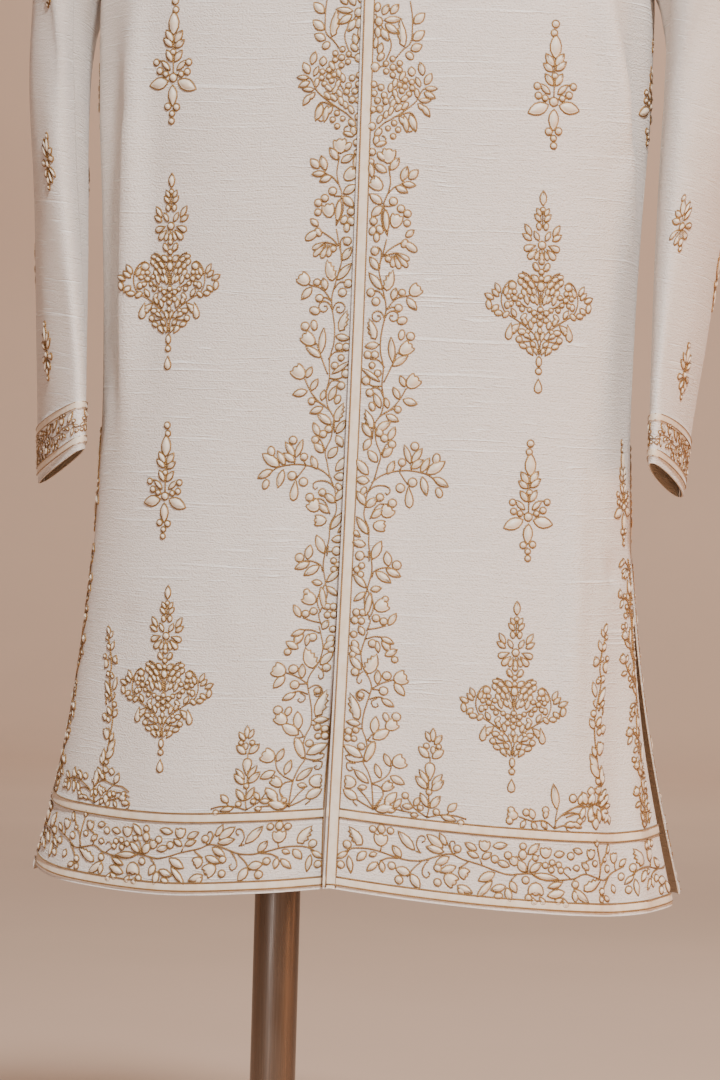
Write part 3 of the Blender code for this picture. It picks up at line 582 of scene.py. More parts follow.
def steelMaterial(name, stretch):  # fine brushing that runs along the tube or round the plate
    shader = Shader(name, 0.3, Metallic=1.0)
    place = shader.node("TexCoord").outputs["Object"]
    brushed = shader.noise(place, stretch, 3.0, 0.6)
    smudge = shader.noise(place, (22, 22, 9), 3.0)
    shader.paint(shader.mix(shader.band(brushed, 0.3, 0.7), finish["steel"], darker(finish["steel"], 0.8)))
    satiny = shader.band(brushed, 0.3, 0.7, (0.22, 0.38))
    shader.rough(shader.maths("ADD", satiny, shader.band(smudge, 0.5, 0.8, (0.0, 0.14))))
    shader.bump(brushed, 0.03 * mm)
    return shader.material


silk = silkMaterial("ivoryRawSilk", finish["silk"], 0.95, 0.25)
# the wrong side carries painted shade in its darker colour
shadedSilkInside = silkMaterial("silkWrongSideWithPaintedShade", finish["shadedSilkInside"], 0.1, 0.05)
satinBand = satinMaterial("satinBand", finish["satin"], (420, 420, 1))
floss = satinMaterial("creamFloss", finish["satin"], (2400, 160, 1))
goldThread = goldMaterial()
formJersey = formMaterial()
poleSteel = steelMaterial("poleSteel", (1400, 1400, 14))
footSteel = steelMaterial("footSteel", (260, 260, 260))
print("materials made")


# the fronts and the back
denseSteps = 260
edgeColumn = 0.8 * mm   # a narrow column of faces beside every free edge
skirtRows = spaced(join([np.arange(0.076, 0.784, coat["cell"]), bandStations(coat["hemBands"]),
                         np.linspace(0.012, 0.06, 9), (0.0, edgeColumn, 0.0735)]))
yokeRows = 40   # cells from the armpit to the shoulder, half of them below the neck pit
neckShare = 52  # how many of the back's top points lie on the neckline
frontColumns = {
    "besideBand": 11.4 * mm,   # the first column past the edge's band
    "narrow": 0.16,            # a front narrower than this closes its band's columns up
    "plain": 46,
}
backColumns = (12, 38)   # as far as the neck's corner, and from there to the side
weaveShift = {  # where each cut lies on the roll of silk, in metres across and along
    "frontLeft": (0.0, 0.0),
    "frontRight": (3.1, 1.7),
    "back": (6.3, 0.9),
    "sleeve": (9.7, 2.3),
    "collar": (13.3, 0.4),
}


def coons(left, right, bottom, top):  # fills four edges: both ruled ways added, less the corners' plane
    v = np.linspace(0, 1, len(left))[:, None, None]
    t = np.linspace(0, 1, len(bottom))[None, :, None]
    ruled = (1 - v) * bottom[None] + v * top[None] + (1 - t) * left[:, None] + t * right[:, None]
    low, high = (1 - t) * bottom[0] + t * bottom[-1], (1 - t) * top[0] + t * top[-1]
    return ruled - (1 - v) * low - v * high


def line(start, end):
    return np.linspace(start, end, denseSteps)


def shoulderSeam(start, end, side):  # a line over the shoulder, half the gap before or behind the seam
    seam = line(start, end)
    seam[:, 0] = angleAtY(side * coat["seamGap"] / 2, seam[:, 1])
    return seam


def levelRows(edge, heights):  # rows (angle, height) from an edge's angle to the side
    share = np.linspace(0, 1, denseSteps)
    return stack([edge[:, None] * (1 - share), heights[:, None] + 0 * share], -1)


def frontRows(start):
    rows = levelRows(angleAtX(start(skirtRows), skirtRows), skirtRows)
    startTurn = math.asin(start(coat["neckPit"]) / coat["neckHalfWidth"])
    neck = neckline(np.linspace(startTurn, quarter, yokeRows // 2 + 1))
    rise = np.linspace(coat["armpit"], neck[0, 1], yokeRows // 2 + 1)[:-1]
    left = join([stack([angleAtX(start(rise), rise), rise], -1), neck])
    right = armhole(np.linspace(math.pi, 0, yokeRows + 1), -1)
    left[-1, 0] = angleAtY(-coat["seamGap"] / 2, left[-1, 1])
    yoke = coons(left, right, line(left[0], right[0]), shoulderSeam(left[-1], right[-1], -1))
    return join([rows, yoke]), neck[0, 1]


def backRows():
    rows = levelRows(np.full(len(skirtRows), quarter), skirtRows)
    neck = neckline(np.linspace(math.pi, quarter, neckShare))
    neck[-1, 0] = angleAtY(coat["seamGap"] / 2, neck[-1, 1])
    right = armhole(np.linspace(math.pi, 0, yokeRows + 1), 1)
    kept = np.linspace(1, denseSteps - 1, denseSteps - neckShare).round().astype(int)
    seam = shoulderSeam(neck[-1], right[-1], 1)[kept]
    left = np.linspace((quarter, coat["armpit"]), neck[0], yokeRows + 1)
    yoke = coons(left, right, line(left[0], right[0]), join([neck, seam]))
    return join([rows, yoke])


def travelledAlong(rows):  # distance over the body along rows of (angle, height)
    return runningLength(bodyPoint(rows[..., 0], rows[..., 1]))


def stationed(rows, travelled, stations):  # each row read at its own stations
    angles = np.array([np.interp(s, t, r) for s, t, r in zip(stations, travelled, rows[..., 0])])
    heights = np.array([np.interp(s, t, r) for s, t, r in zip(stations, travelled, rows[..., 1])])
    return angles, heights


def sideTrim(heights, name):  # how far a side edge stands back from the seam's line, below the armpit only
    return coat["seamGap"] / 2 + closing(name, heights)


def clothUp(points):  # distance up the cloth, row by row, along its middle column
    return runningLength(points[:, points.shape[1] // 2])


# what every cloth piece ends with; its sizes are printed
def sewnIn(piece, node, outer, width, length):
    sizes = [round(float(size), 4) for size in (openArea(outer), width, length)]
    print(piece.name, "area, width and length", *sizes)
    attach(piece, "root")
    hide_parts(node)
    return piece


def frontPanel(panel, start, node):
    rows, pit = frontRows(start)
    travelled = travelledAlong(rows)
    length = travelled[:, -1].copy()
    skirt = len(skirtRows)
    length[:skirt] -= sideTrim(skirtRows, "slitFront")
    onEdge = [coat["edgeMargin"] + station for station in bandStations((0.0,))]
    fixed = np.array([0, edgeColumn, *onEdge, frontColumns["besideBand"]])
    rest = np.append(np.linspace(0, 1, frontColumns["plain"])[1:], 1)
    stations = []
    for whole in length:
        steps = fixed * min(1.0, whole / frontColumns["narrow"])
        more = steps[-1] + (whole - steps[-1]) * rest
        more[-2] = whole - edgeColumn
        stations.append(join([steps, more]))
    stations = np.array(stations)
    angles, heights = stationed(rows, travelled, stations)
    across = signedRound(frontRound, angles, heights)
    inner, normal = frontSurface(panel, angles, heights, across)
    belowPit = np.clip((pit - heights[:, :1]) / coat["bandFade"], 0, 1)
    edgeBand = bandHeight(stations - coat["edgeMargin"], (0.0,)) * belowPit
    relief = np.maximum(edgeBand, bandHeight(heights, coat["hemBands"]))
    outer = inner + normal * (coat["cloth"] + relief)[..., None]
    flip = panel == "frontRight"
    if flip:
        inner, outer = inner * (-1, 1, 1), outer * (-1, 1, 1)
    up = clothUp(outer)
    uv = stack([stations, np.broadcast_to(up[:, None], stations.shape)], -1) + weaveShift[panel]
    piece = wall(panel, inner, outer, uv, facesOnBand(relief), flip)
    return sewnIn(piece, node, outer, stations[:, -1].max(), up[-1])


def backPanel(node):
    rows = backRows()
    travelled = travelledAlong(rows)
    length, corner = travelled[:, -1].copy(), travelled[:, neckShare - 1]
    skirt = len(skirtRows)
    length[:skirt] -= sideTrim(skirtRows, "slitBack")
    inside, outside = np.linspace(0, 1, backColumns[0])[:-1], np.append(np.linspace(0, 1, backColumns[1]), 1)
    beyond = corner[:, None] + (length - corner)[:, None] * outside
    stations = join([corner[:, None] * inside, beyond], axis=1)
    stations[:, -2] = stations[:, -1] - edgeColumn
    angles, heights = stationed(rows, travelled, stations)
    across = roundFrom(backRound, angles, heights)
    relief = bandHeight(heights, coat["hemBands"])
    halves = []
    for side in (-1, 1):
        inner, normal = backSurface(side, angles, heights, across, stations[:, -1:] - stations)
        halves.append([inner, inner + normal * (coat["cloth"] + relief)[..., None]])
    inner, outer = (join([r[:, :0:-1], l], axis=1) for r, l in zip(*halves))
    signed = join([-stations[:, :0:-1], stations], axis=1)
    up = clothUp(outer)
    uv = stack([signed, np.broadcast_to(up[:, None], signed.shape)], -1) + weaveShift["back"]
    bandFaces = facesOnBand(join([relief[:, :0:-1], relief], axis=1))
    piece = wall("back", inner, outer, uv, bandFaces, flip=True)
    return sewnIn(piece, node, outer, 2 * stations[:, -1].max(), up[-1])


frontLeft = frontPanel("frontLeft", startLeft, "front_left_panel")
frontRight = frontPanel("frontRight", startRight, "front_right_panel")
back = backPanel("back_panel")
print("fronts and back made")

# sleeves
sleeve = {
    "length": 0.62,
    "squareness": 1.9,
    "settle": 0.14,        # share of the length over which it is drawn onto the armhole
    "weftSlope": 0.16,
    "twistMore": {1: -5.0, -1: 12.0},   # degrees at the cuff, left and right
    "slimmer": {1: (7 * mm, 3 * mm), -1: (4 * mm, 7.5 * mm)},   # outer and inner sides
    "lower": {1: (3 * mm, -15 * mm), -1: (10 * mm, -20 * mm)},
    "frontSeam": math.radians(126),
    "backSeam": math.radians(270),
    "clearReach": 0.1,     # share of the length over which it stands clear of the body
    "seamShare": 1.3,      # how far its seam edges stand back, in seam gaps
    "upperColumns": 50,
    "underColumns": 34,
}
turnStep, alongStep = 0.02, 0.004   # radians round and share of the length, for slopes
ringNames = "along outerX outerHeight innerX innerHeight halfDepth centreY twist frontLift leftWider rightWider"
sleeveRings = table(ringNames, """
    0 0.216 0.975 0.241 0.79 0.064 0.004 0 0 0 0, 0.05 0.235 0.979 0.249 0.772 0.069 0.004 0 0 0 0,
    0.11 0.26 0.968 0.2545 0.752 0.074 0.004 1 0 0.001 0, 0.18 0.284 0.94 0.2565 0.733 0.078 0.004 3 0 0.003 0,
    0.26 0.3 0.894 0.257 0.712 0.081 0.004 6 0 0.006 0, 0.35 0.306 0.832 0.257 0.685 0.082 0.004 8 0 0.009 0,
    0.44 0.306 0.76 0.2565 0.652 0.08 0.003 10 0.002 0.01 0,
    0.55 0.303 0.678 0.2555 0.602 0.077 0.001 11 0.004 0.008 0.001,
    0.66 0.299 0.592 0.254 0.543 0.073 -0.003 12 0.006 0.005 0.003,
    0.78 0.2935 0.505 0.253 0.474 0.069 -0.01 13 0.008 0.002 0.005,
    0.89 0.286 0.43 0.2535 0.411 0.065 -0.019 14 0.011 0 0.007,
    1 0.2805 0.371 0.254 0.356 0.062 -0.028 14 0.013 0 0.009""")
sleeveFolds = table("around low high depth width", """
    70 0.28 0.56 -0.0045 40, 20 0.38 0.68 0.0035 36, 320 0.34 0.62 -0.004 36, 60 0.62 0.96 -0.003 40""")


def ringPoint(side, along, around):  # a turned superellipse ring: around 0 outside, 90 degrees in front
    get = {name: smooth(sleeveRings, "along", name, along) for name in sleeveRings if name != "along"}
    if side > 0:
        get["outerX"] = get["outerX"] + get["leftWider"]
    else:
        get["innerX"] = get["innerX"] - get["rightWider"]
    late = easeStep((along - 0.5) / 0.5)
    get["twist"] = get["twist"] + sleeve["twistMore"][side] * late
    for name, sign, slim, low in zip(("outer", "inner"), (-1, 1), sleeve["slimmer"][side], sleeve["lower"][side]):
        get[name + "X"] = get[name + "X"] + sign * slim * late
        get[name + "Height"] = get[name + "Height"] - low * late ** 2
    power = 2 / sleeve["squareness"]
    c, s = np.cos(around), np.sin(around)
    c, s = np.sign(c) * np.abs(c) ** power, np.sign(s) * np.abs(s) ** power
    turn = np.radians(get["twist"])
    reachX, reachY = (get["outerX"] - get["innerX"]) / 2 * c, -get["halfDepth"] * s
    x = (get["outerX"] + get["innerX"]) / 2 + reachX * np.cos(turn) + reachY * np.sin(turn)
    y = get["centreY"] - reachX * np.sin(turn) + reachY * np.cos(turn)
    lift = (get["outerHeight"] - get["innerHeight"]) / 2 * c + get["frontLift"] * s
    return stack(np.broadcast_arrays(x, y, zOf((get["outerHeight"] + get["innerHeight"]) / 2 + lift)), -1)


def armholePoint(around):
    around = around % fullTurn
    turn = np.where(around > math.pi, fullTurn - around, around)
    chosen = np.where((np.sin(around) > 0)[..., None], armhole(turn, -1), armhole(turn, 1))
    return bodyPoint(chosen[..., 0], chosen[..., 1]), bodyNormal(chosen[..., 0], chosen[..., 1])


def sleeveSurface(side, along, around):  # its start is drawn onto the armhole
    edge, _ = armholePoint(around)
    blend = easeStep(1 - along / sleeve["settle"])[..., None]
    return ringPoint(side, along, around) + blend * (edge - ringPoint(side, np.zeros_like(along), around))


def sleeveNormal(side, along, around):  # square to the way round and to the way down
    across = sleeveSurface(side, along, around + turnStep) - sleeveSurface(side, along, around - turnStep)
    above, below = np.maximum(along - alongStep, 0), np.minimum(along + alongStep, 1)
    down = sleeveSurface(side, below, around) - sleeveSurface(side, above, around)
    return unit(np.cross(across, down))


def sleeveSides(side, along, around, bands=True):  # inner and outer points of a sleeve, as if on +X
    _, bodyOut = armholePoint(around)
    normal = sleeveNormal(side, along, around)
    facing = np.clip(-np.sum(normal * bodyOut, -1), 0, 1)
    clearance = coat["cloth"] + coat["lapGap"] + coat["cloth"] * facing
    folds = np.zeros_like(along)
    for a, low, high, depth, width in zip(*sleeveFolds.values()):
        away = np.abs((np.degrees(around) - a + 180) % 360 - 180)
        fade = easeStep(1 - np.abs(along - (low + high) / 2) / ((high - low) / 2))
        folds += depth * easeStep(1 - away / width) * fade
    clearance = clearance * easeStep(1 - along / sleeve["clearReach"])
    points = sleeveSurface(side, along, around) + bodyOut * clearance[..., None]
    points = points + normal * folds[..., None]
    thickness = coat["cloth"] + (bandHeight((1 - along) * sleeve["length"], coat["cuffBands"]) if bands else 0)
    return points, points + normal * (thickness * np.ones_like(along))[..., None]


def sleevePiece(name, side, start, end, columns, node):
    between = np.arange(0.0195, 0.044, 0.004)
    above = join([bandStations(coat["cuffBands"]), [0, edgeColumn, 0.0035], between])
    cuff = 1 - above / sleeve["length"]
    along = spaced(join([cuff, np.linspace(0.0, 0.905, 92), [0.0015]]), 0.0004)
    around = join([[start], np.linspace(start, end, columns), [end]])
    a, r = np.meshgrid(along, around, indexing="ij")
    for column, sign, at in ((0, 1, start), (-1, -1, end)):
        chord = ringPoint(side, a[:, 0], at + turnStep) - ringPoint(side, a[:, 0], at - turnStep)
        chord = np.linalg.norm(chord, axis=-1)
        r[:, column] += sign * sleeve["seamShare"] * coat["seamGap"] * turnStep / chord
        r[:, column + sign] = r[:, column] + sign * edgeColumn * 2 * turnStep / chord
    inner, outer = sleeveSides(side, a, r)
    flip = side > 0
    if side < 0:
        inner, outer = inner * (-1, 1, 1), outer * (-1, 1, 1)
    roundUv = runningLength(outer)
    shift = weaveShift["sleeve"]
    rising = outer[..., 2] + sleeve["weftSlope"] * outer[..., 0]
    uv = stack([roundUv + shift[0] + start + side, rising + shift[1] * side], -1)
    bandFaces = facesOnBand(bandHeight((1 - a) * sleeve["length"], coat["cuffBands"]))
    piece = wall(name, inner, outer, uv, bandFaces, flip)
    return sewnIn(piece, node, outer, roundUv[:, -1].max(), clothUp(outer)[-1])


for word, side in (("Left", 1), ("Right", -1)):
    node = "sleeve_" + word.lower()
    upper = (sleeve["backSeam"] - fullTurn, sleeve["frontSeam"], sleeve["upperColumns"])
    under = (sleeve["frontSeam"], sleeve["backSeam"], sleeve["underColumns"])
    sleevePiece("sleeve" + word + "Upper", side, *upper, node + "_upper")
    sleevePiece("sleeve" + word + "Under", side, *under, node + "_under")
print("sleeves made")

# collar
collarSizes = {
    "height": 0.044,
    "lean": 0.004,
    "edge": 0.004,
    "gap": 0.8 * mm,
    "rise": (0.0, 0.16, 1.0),   # the way its height runs
    "columns": 121,
}


def collarSurface(turn, share):  # a band that rises from the neckline and leans in a little
    place = neckline(turn[0])
    edge, away = bodyPoint(place[:, 0], place[:, 1]), bodyNormal(place[:, 0], place[:, 1])
    flat = unit(stack([np.sin(turn[0]), -np.cos(turn[0]), np.zeros_like(turn[0])], -1))
    lift = coat["cloth"] + collarSizes["gap"] + np.where(turn[0] < math.pi, lapRaise(edge[:, 0]), 0)
    base = edge + away * lift[:, None] + flat * coat["cloth"]
    rise, share = unit(np.array(collarSizes["rise"])), share[..., None]
    inner = base + rise * collarSizes["height"] * share - flat * collarSizes["lean"] * share
    return inner, inner + flat * coat["cloth"]


def collarPiece():
    start = math.asin(collarSizes["edge"] / coat["neckHalfWidth"])
    turn = np.linspace(start, fullTurn - start, collarSizes["columns"])
    turn = np.sort(join([turn, [start + 0.012, fullTurn - start - 0.012]]))   # close to the free ends
    t, share = np.meshgrid(turn, np.array([0, 0.02, *np.linspace(0.1, 0.9, 9), 0.98, 1]))
    inner, outer = collarSurface(t, share)
    roundUv = np.broadcast_to(runningLength(outer[0]), t.shape)
    uv = stack([roundUv, share * collarSizes["height"]], -1) + weaveShift["collar"]
    piece = wall("collar", inner, outer, uv)
    return sewnIn(piece, "collar", outer, roundUv.max(), collarSizes["height"])


collar = collarPiece()
print("collar made")

# dress form and stand
form = {
    "bottom": 0.232,
    "armInset": 0.03,
    "neckHalfWidth": 0.054,
    "neckHalfDepth": 0.056,
    "seamDepth": 0.5 * mm,
    "seamSpread": 0.03,        # radians round the form
    "seams": (-90, -55, -125, 90, 55, 125),
    "halfWidth": 0.2,
    "halfDepth": 0.1,
    "columns": 144,
    "rings": 73,
    "sharp": 50,               # degrees past which an edge is left sharp
}
formEase = table("height ease", """
    0.232 0.015, 0.33 0.015, 0.505 0.014, 0.64 0.011, 0.77 0.007, 0.86 0.005, 0.94 0.0045, 0.975 0.0055, 0.995 0.0045,
    1.019 0.003""")
formHeel = table("height drawnIn", """
    0.232 0.02, 0.2325 0.0145, 0.234 0.01, 0.2362 0.006, 0.239 0.003, 0.2435 0.0008""")
formNeck = table("height drawnIn", """
    1.026 0.0005, 1.04 0, 1.055 0.0001, 1.07 0.0005, 1.076 0.0011, 1.08 0.002, 1.0825 0.0042, 1.084 0.008""")
formStops = (0.248, 0.3, 0.36, 0.43, 0.505, 0.595, 0.685, 0.77, 0.835, 0.882,
             0.92, 0.945, 0.962, 0.974, 0.982, 0.992, 1.004, 1.014, 1.018)


def neckRadius(direction):
    return 1 / np.hypot(np.cos(direction) / form["neckHalfWidth"], np.sin(direction) / form["neckHalfDepth"])


def formRing(angles, height, drawnIn):  # the body's section, drawn in by its ease
    heights = np.full(angles.shape, height)
    ease = smooth(formEase, "height", "ease", height) + drawnIn
    points = bodyPoint(angles, heights) - bodyNormal(angles, heights) * ease
    points[:, 0] *= 1 - form["armInset"] * easeStep((height - coat["armpit"]) / (coat["shoulder"] - coat["armpit"]))
    if height < coat["armpit"]:
        points[:, 2] = zOf(height)
    direction, radius = np.arctan2(points[:, 1], points[:, 0]), np.hypot(points[:, 0], points[:, 1])
    if height > coat["shoulder"]:
        points[:, :2] *= (np.maximum(radius, neckRadius(direction)) / radius)[:, None]
    return points


def loft(name, rings, material):  # closed rings joined, with a flat face at each end
    columns = len(rings[0])
    points = join(rings)
    faces = gridFaces(len(rings), columns, wraps=True)
    ends = stack([np.arange(columns)[::-1], len(points) - columns + np.arange(columns)])
    groups = [(faces, np.zeros((*faces.shape, 2)), 0), (ends, np.zeros((*ends.shape, 2)), 0)]
    piece = makeMesh(name, points, groups, [material])
    piece.data.set_sharp_from_angle(angle=math.radians(form["sharp"]))
    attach(piece, "root")
    return piece


def formPiece():
    angles = np.linspace(0, fullTurn, form["columns"], endpoint=False)
    stops = np.interp(np.linspace(0, len(formStops) - 1, form["rings"]), np.arange(len(formStops)), formStops)
    rings = [formRing(angles, stops[0], d) + (0, 0, h - stops[0]) for h, d in zip(*formHeel.values())]
    rings += [formRing(angles, h, 0.0) for h in stops]
    for height, drawnIn in zip(*formNeck.values()):
        x, y = (form["neckHalfWidth"] - drawnIn) * np.cos(angles), (form["neckHalfDepth"] - drawnIn) * np.sin(angles)
        rings.append(stack([x, y, np.full(angles.shape, zOf(height))], -1))
    seams = np.radians(form["seams"])
    near = np.min(np.abs((angles[:, None] - seams + math.pi) % fullTurn - math.pi), axis=1)
    groove = form["seamDepth"] * np.exp(-(near / form["seamSpread"]) ** 2)
    pressed = stack([1 - groove / form["halfWidth"], 1 - groove / form["halfDepth"], np.ones_like(groove)], -1)
    rings = [ring * pressed for ring in rings]
    piece = loft("dressForm", rings, formJersey)
    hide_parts("dress_form")
    return piece


stand = {
    "poleX": -0.066,
    "poleRadius": 0.02,
    "flangeRadius": 0.055,
    "flangeThickness": 0.008,
    "footRadius": 0.2,
    "footThickness": 0.009,
    "bossRadius": 0.034,
    "bossTop": 0.036,
    "socket": 0.004,
    "gap": 0.3 * mm,
    "poleRound": 1 * mm,       # the rounding of the pole's and the flange's edges
    "footRound": 2 * mm,
    "weld": 0.6 * mm,
    "columns": 96,
}


def turned(name, profile, material, node):  # a profile of (radius, z) carried round the pole's axis
    angles = np.linspace(0, fullTurn, stand["columns"], endpoint=False)
    c, s = np.cos(angles), np.sin(angles)
    rings = [stack([stand["poleX"] + r * c, r * s, np.full(angles.shape, z)], -1) for r, z in profile]
    piece = loft(name, rings, material)
    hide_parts(node)
    return piece


def lowerRound(radius, z, size):  # a quarter round from a flat underside out to an upright side
    return [(radius - size + size * math.sin(a), z + size * (1 - math.cos(a))) for a in np.linspace(0, quarter, 5)]


def upperRound(radius, z, size):  # the same at the top, from the side in to the flat
    return [(r, 2 * z - low) for r, low in reversed(lowerRound(radius, z, size))]


def standPieces():
    s = stand
    under = zOf(form["bottom"])
    top, bottom = under - s["gap"], under - s["gap"] - s["flangeThickness"]
    low, high = s["socket"] + s["gap"], bottom - s["gap"]
    for name, node, radius, ends, material in (
            ("poleFlange", "pole_flange", s["flangeRadius"], (bottom, top), footSteel),
            ("pole", "pole", s["poleRadius"], (low, high), poleSteel)):
        profile = lowerRound(radius, ends[0], s["poleRound"]) + upperRound(radius, ends[1], s["poleRound"])
        turned(name, profile, material, node)
    plate = s["footThickness"]
    hole = s["poleRadius"] + s["gap"]
    profile = lowerRound(s["footRadius"], 0, s["footRound"]) + upperRound(s["footRadius"], plate, s["footRound"])
    profile += [(s["bossRadius"] + s["weld"], plate), (s["bossRadius"], plate + s["weld"])]
    profile += upperRound(s["bossRadius"], s["bossTop"], s["footRound"])
    turned("foot", profile + [(hole, s["bossTop"]), (hole, s["socket"])], footSteel, "foot")


formPiece()
standPieces()
print("form and stand made")


# the cloth's outer side, as a lattice that embroidery is laid on
latticeStep = 2 * mm
latticeReach = {  # how far each lattice goes, in metres
    "pastMiddle": 0.02,
    "panelAcross": 0.345,
    "frontUp": 1.0,
    "backUp": 1.012,
    "sleeveAcross": 0.3,
    "sleeveUp": 0.52,
}


def lattice(points, u0, flip=False):
    across, up = np.gradient(points, axis=1), np.gradient(points, axis=0)
    normal = unit(np.cross(across, up))
    if flip:
        points, normal = points * (-1, 1, 1), normal * (-1, 1, 1)
    return {"points": points, "normals": normal, "u0": u0, "flip": flip}


def onCloth(cloth, u, v, lift):
    column, row = (u - cloth["u0"]) / latticeStep, v / latticeStep
    return readGrid(cloth["points"], row, column) + unit(readGrid(cloth["normals"], row, column)) * lift[..., None]


def angleRoundTo(measured, across, height):  # the angle that lies this far round a level section
    angles, distances = measured
    column, row = np.meshgrid(np.arange(distances.shape[1], dtype=float), height[:, 0] / tableStep)
    rows = readGrid(distances, row, column)
    return np.array([np.interp(a, r, angles) for a, r in zip(across, rows)])


def frontLattice(panel):
    v = np.arange(0, latticeReach["frontUp"], latticeStep)
    u = np.arange(-latticeReach["pastMiddle"], latticeReach["panelAcross"], latticeStep)
    across, height = np.meshgrid(u, v)
    angle = angleRoundTo(frontRound, np.maximum(across, 0), height)
    angle = np.where(across < 0, -math.pi - angleRoundTo(frontRound, np.maximum(-across, 0), height), angle)
    inner, normal = frontSurface(panel, angle, height, across)
    return lattice(inner + normal * coat["cloth"], u[0], panel == "frontRight")


def backLattice():
    v = np.arange(0, latticeReach["backUp"], latticeStep)
    u = np.arange(0, latticeReach["panelAcross"], latticeStep)
    across, height = np.meshgrid(u, v)
    angle = angleRoundTo(backRound, across, height)
    edge = (np.interp(v, tableHeights, backRound[1][:, -1]) - sideTrim(v, "slitBack"))[:, None]
    halves = []
    for side in (1, -1):
        inner, normal = backSurface(side, angle, height, across, np.maximum(edge - across, 0))
        halves.append(inner + normal * coat["cloth"])
    points = join([halves[0][:, :0:-1], halves[1]], axis=1)
    return lattice(points, -u[-1])


# u runs from the front round to the outside, v up from the cuff
def sleeveLattice(side):
    v = np.arange(0, latticeReach["sleeveUp"], latticeStep)
    along = 1 - v / sleeve["length"]
    around = np.linspace(quarter + fullTurn, quarter - fullTurn, 720)
    a, r = np.meshgrid(along, around, indexing="ij")
    _, outer = sleeveSides(side, a, r, bands=False)
    distance = runningLength(outer)
    middle = len(around) // 2
    distance = distance - distance[:, middle:middle + 1]
    u = np.arange(-latticeReach["sleeveAcross"], latticeReach["sleeveAcross"], latticeStep)
    points = stack([[np.interp(u, d, o[:, k]) for d, o in zip(distance, outer)] for k in range(3)], -1)
    made = lattice(points, u[0], side < 0)
    made["girth"] = distance[:, -1]
    return made


def collarLattice():
    start = math.asin(collarSizes["edge"] / coat["neckHalfWidth"])
    turn = np.linspace(start, fullTurn - start, 400)
    share = np.arange(0, collarSizes["height"] + mm, latticeStep) / collarSizes["height"]
    t, s = np.meshgrid(turn, share)
    _, outer = collarSurface(t, s)
    distance = runningLength(outer[0])
    u = np.arange(0, distance[-1], latticeStep)
    points = stack([[np.interp(u, distance, o[:, k]) for o in outer] for k in range(3)], -1)
    made = lattice(points, 0.0)
    made["length"] = distance[-1]
    return made


# outlines of the satin shapes: share of the length, share of the width, from the base round by the tip
def bothHalves(side):
    side = np.array(side, float)
    return join([side * (1, -1), side[-2:0:-1]])


def roundOutline(count):
    turn = np.linspace(0, fullTurn, count, endpoint=False)
    return 0.5 * stack([np.cos(turn), np.sin(turn)], -1)


outlines = {
    "leaf": bothHalves([(0, 0), (0.12, 0.25), (0.31, 0.45), (0.55, 0.49), (0.78, 0.34), (0.93, 0.14), (1, 0)]),
    "petal": bothHalves([(0, 0), (0.18, 0.2), (0.42, 0.4), (0.66, 0.5), (0.87, 0.42), (0.97, 0.2), (1, 0)]),
    "bud": bothHalves([(0, 0), (0.1, 0.26), (0.34, 0.44), (0.62, 0.5), (0.86, 0.48),
                       (0.98, 0.36), (0.9, 0.2), (0.97, 0.12), (1, 0)]),
    "oval": roundOutline(12),
    "toothed": np.array([(0, 0), (0.12, -0.24), (0.32, -0.4), (0.55, -0.4), (0.8, -0.24), (1, 0), (0.84, 0.12),
                         (0.82, 0.3), (0.68, 0.26), (0.64, 0.46), (0.48, 0.36), (0.42, 0.54), (0.26, 0.38),
                         (0.14, 0.44), (0.06, 0.2)]),
}
thread = {
    "cord": 1.55 * mm,        # width of the gold cord round a shape
    "cordShare": 0.25,        # at most this share of the shape
    "cordHeight": 1.15 * mm,
    "stem": 1.7 * mm,         # width of a stem's cord
    "stemHeight": 1.25 * mm,
    "sunk": 0.2 * mm,         # how far every thread's base lies inside the cloth
    "valley": 0.35 * mm,
    "shoulder": 1.45 * mm,    # the padded satin, at its edge and in its middle
    "crown": 2.15 * mm,
    "shoulderIn": 0.22,       # the share of the way in that its edge stands
    "plumpSize": 7 * mm,      # a shape this wide is padded in full, others in proportion
    "plumpRange": (0.7, 1.15),
    "step": 2.4 * mm,         # between points along a stem, and along a straight line
    "lineStep": 6 * mm,
    "spread": 3.0,            # metres of floss over which the shapes draw at random
}


def drawnIn(outline, distance):  # each corner moved inwards along the mean of its two edges' normals
    ahead, behind = unit(np.roll(outline, -1, axis=1) - outline), unit(outline - np.roll(outline, 1, axis=1))
    normalA = stack([-ahead[..., 1], ahead[..., 0]], -1)
    normalB = stack([-behind[..., 1], behind[..., 0]], -1)
    spread = np.maximum(1 + np.sum(normalA * normalB, -1, keepdims=True), 0.75)   # a sharp tip is held back
    return outline + distance[:, None, None] * (normalA + normalB) / spread


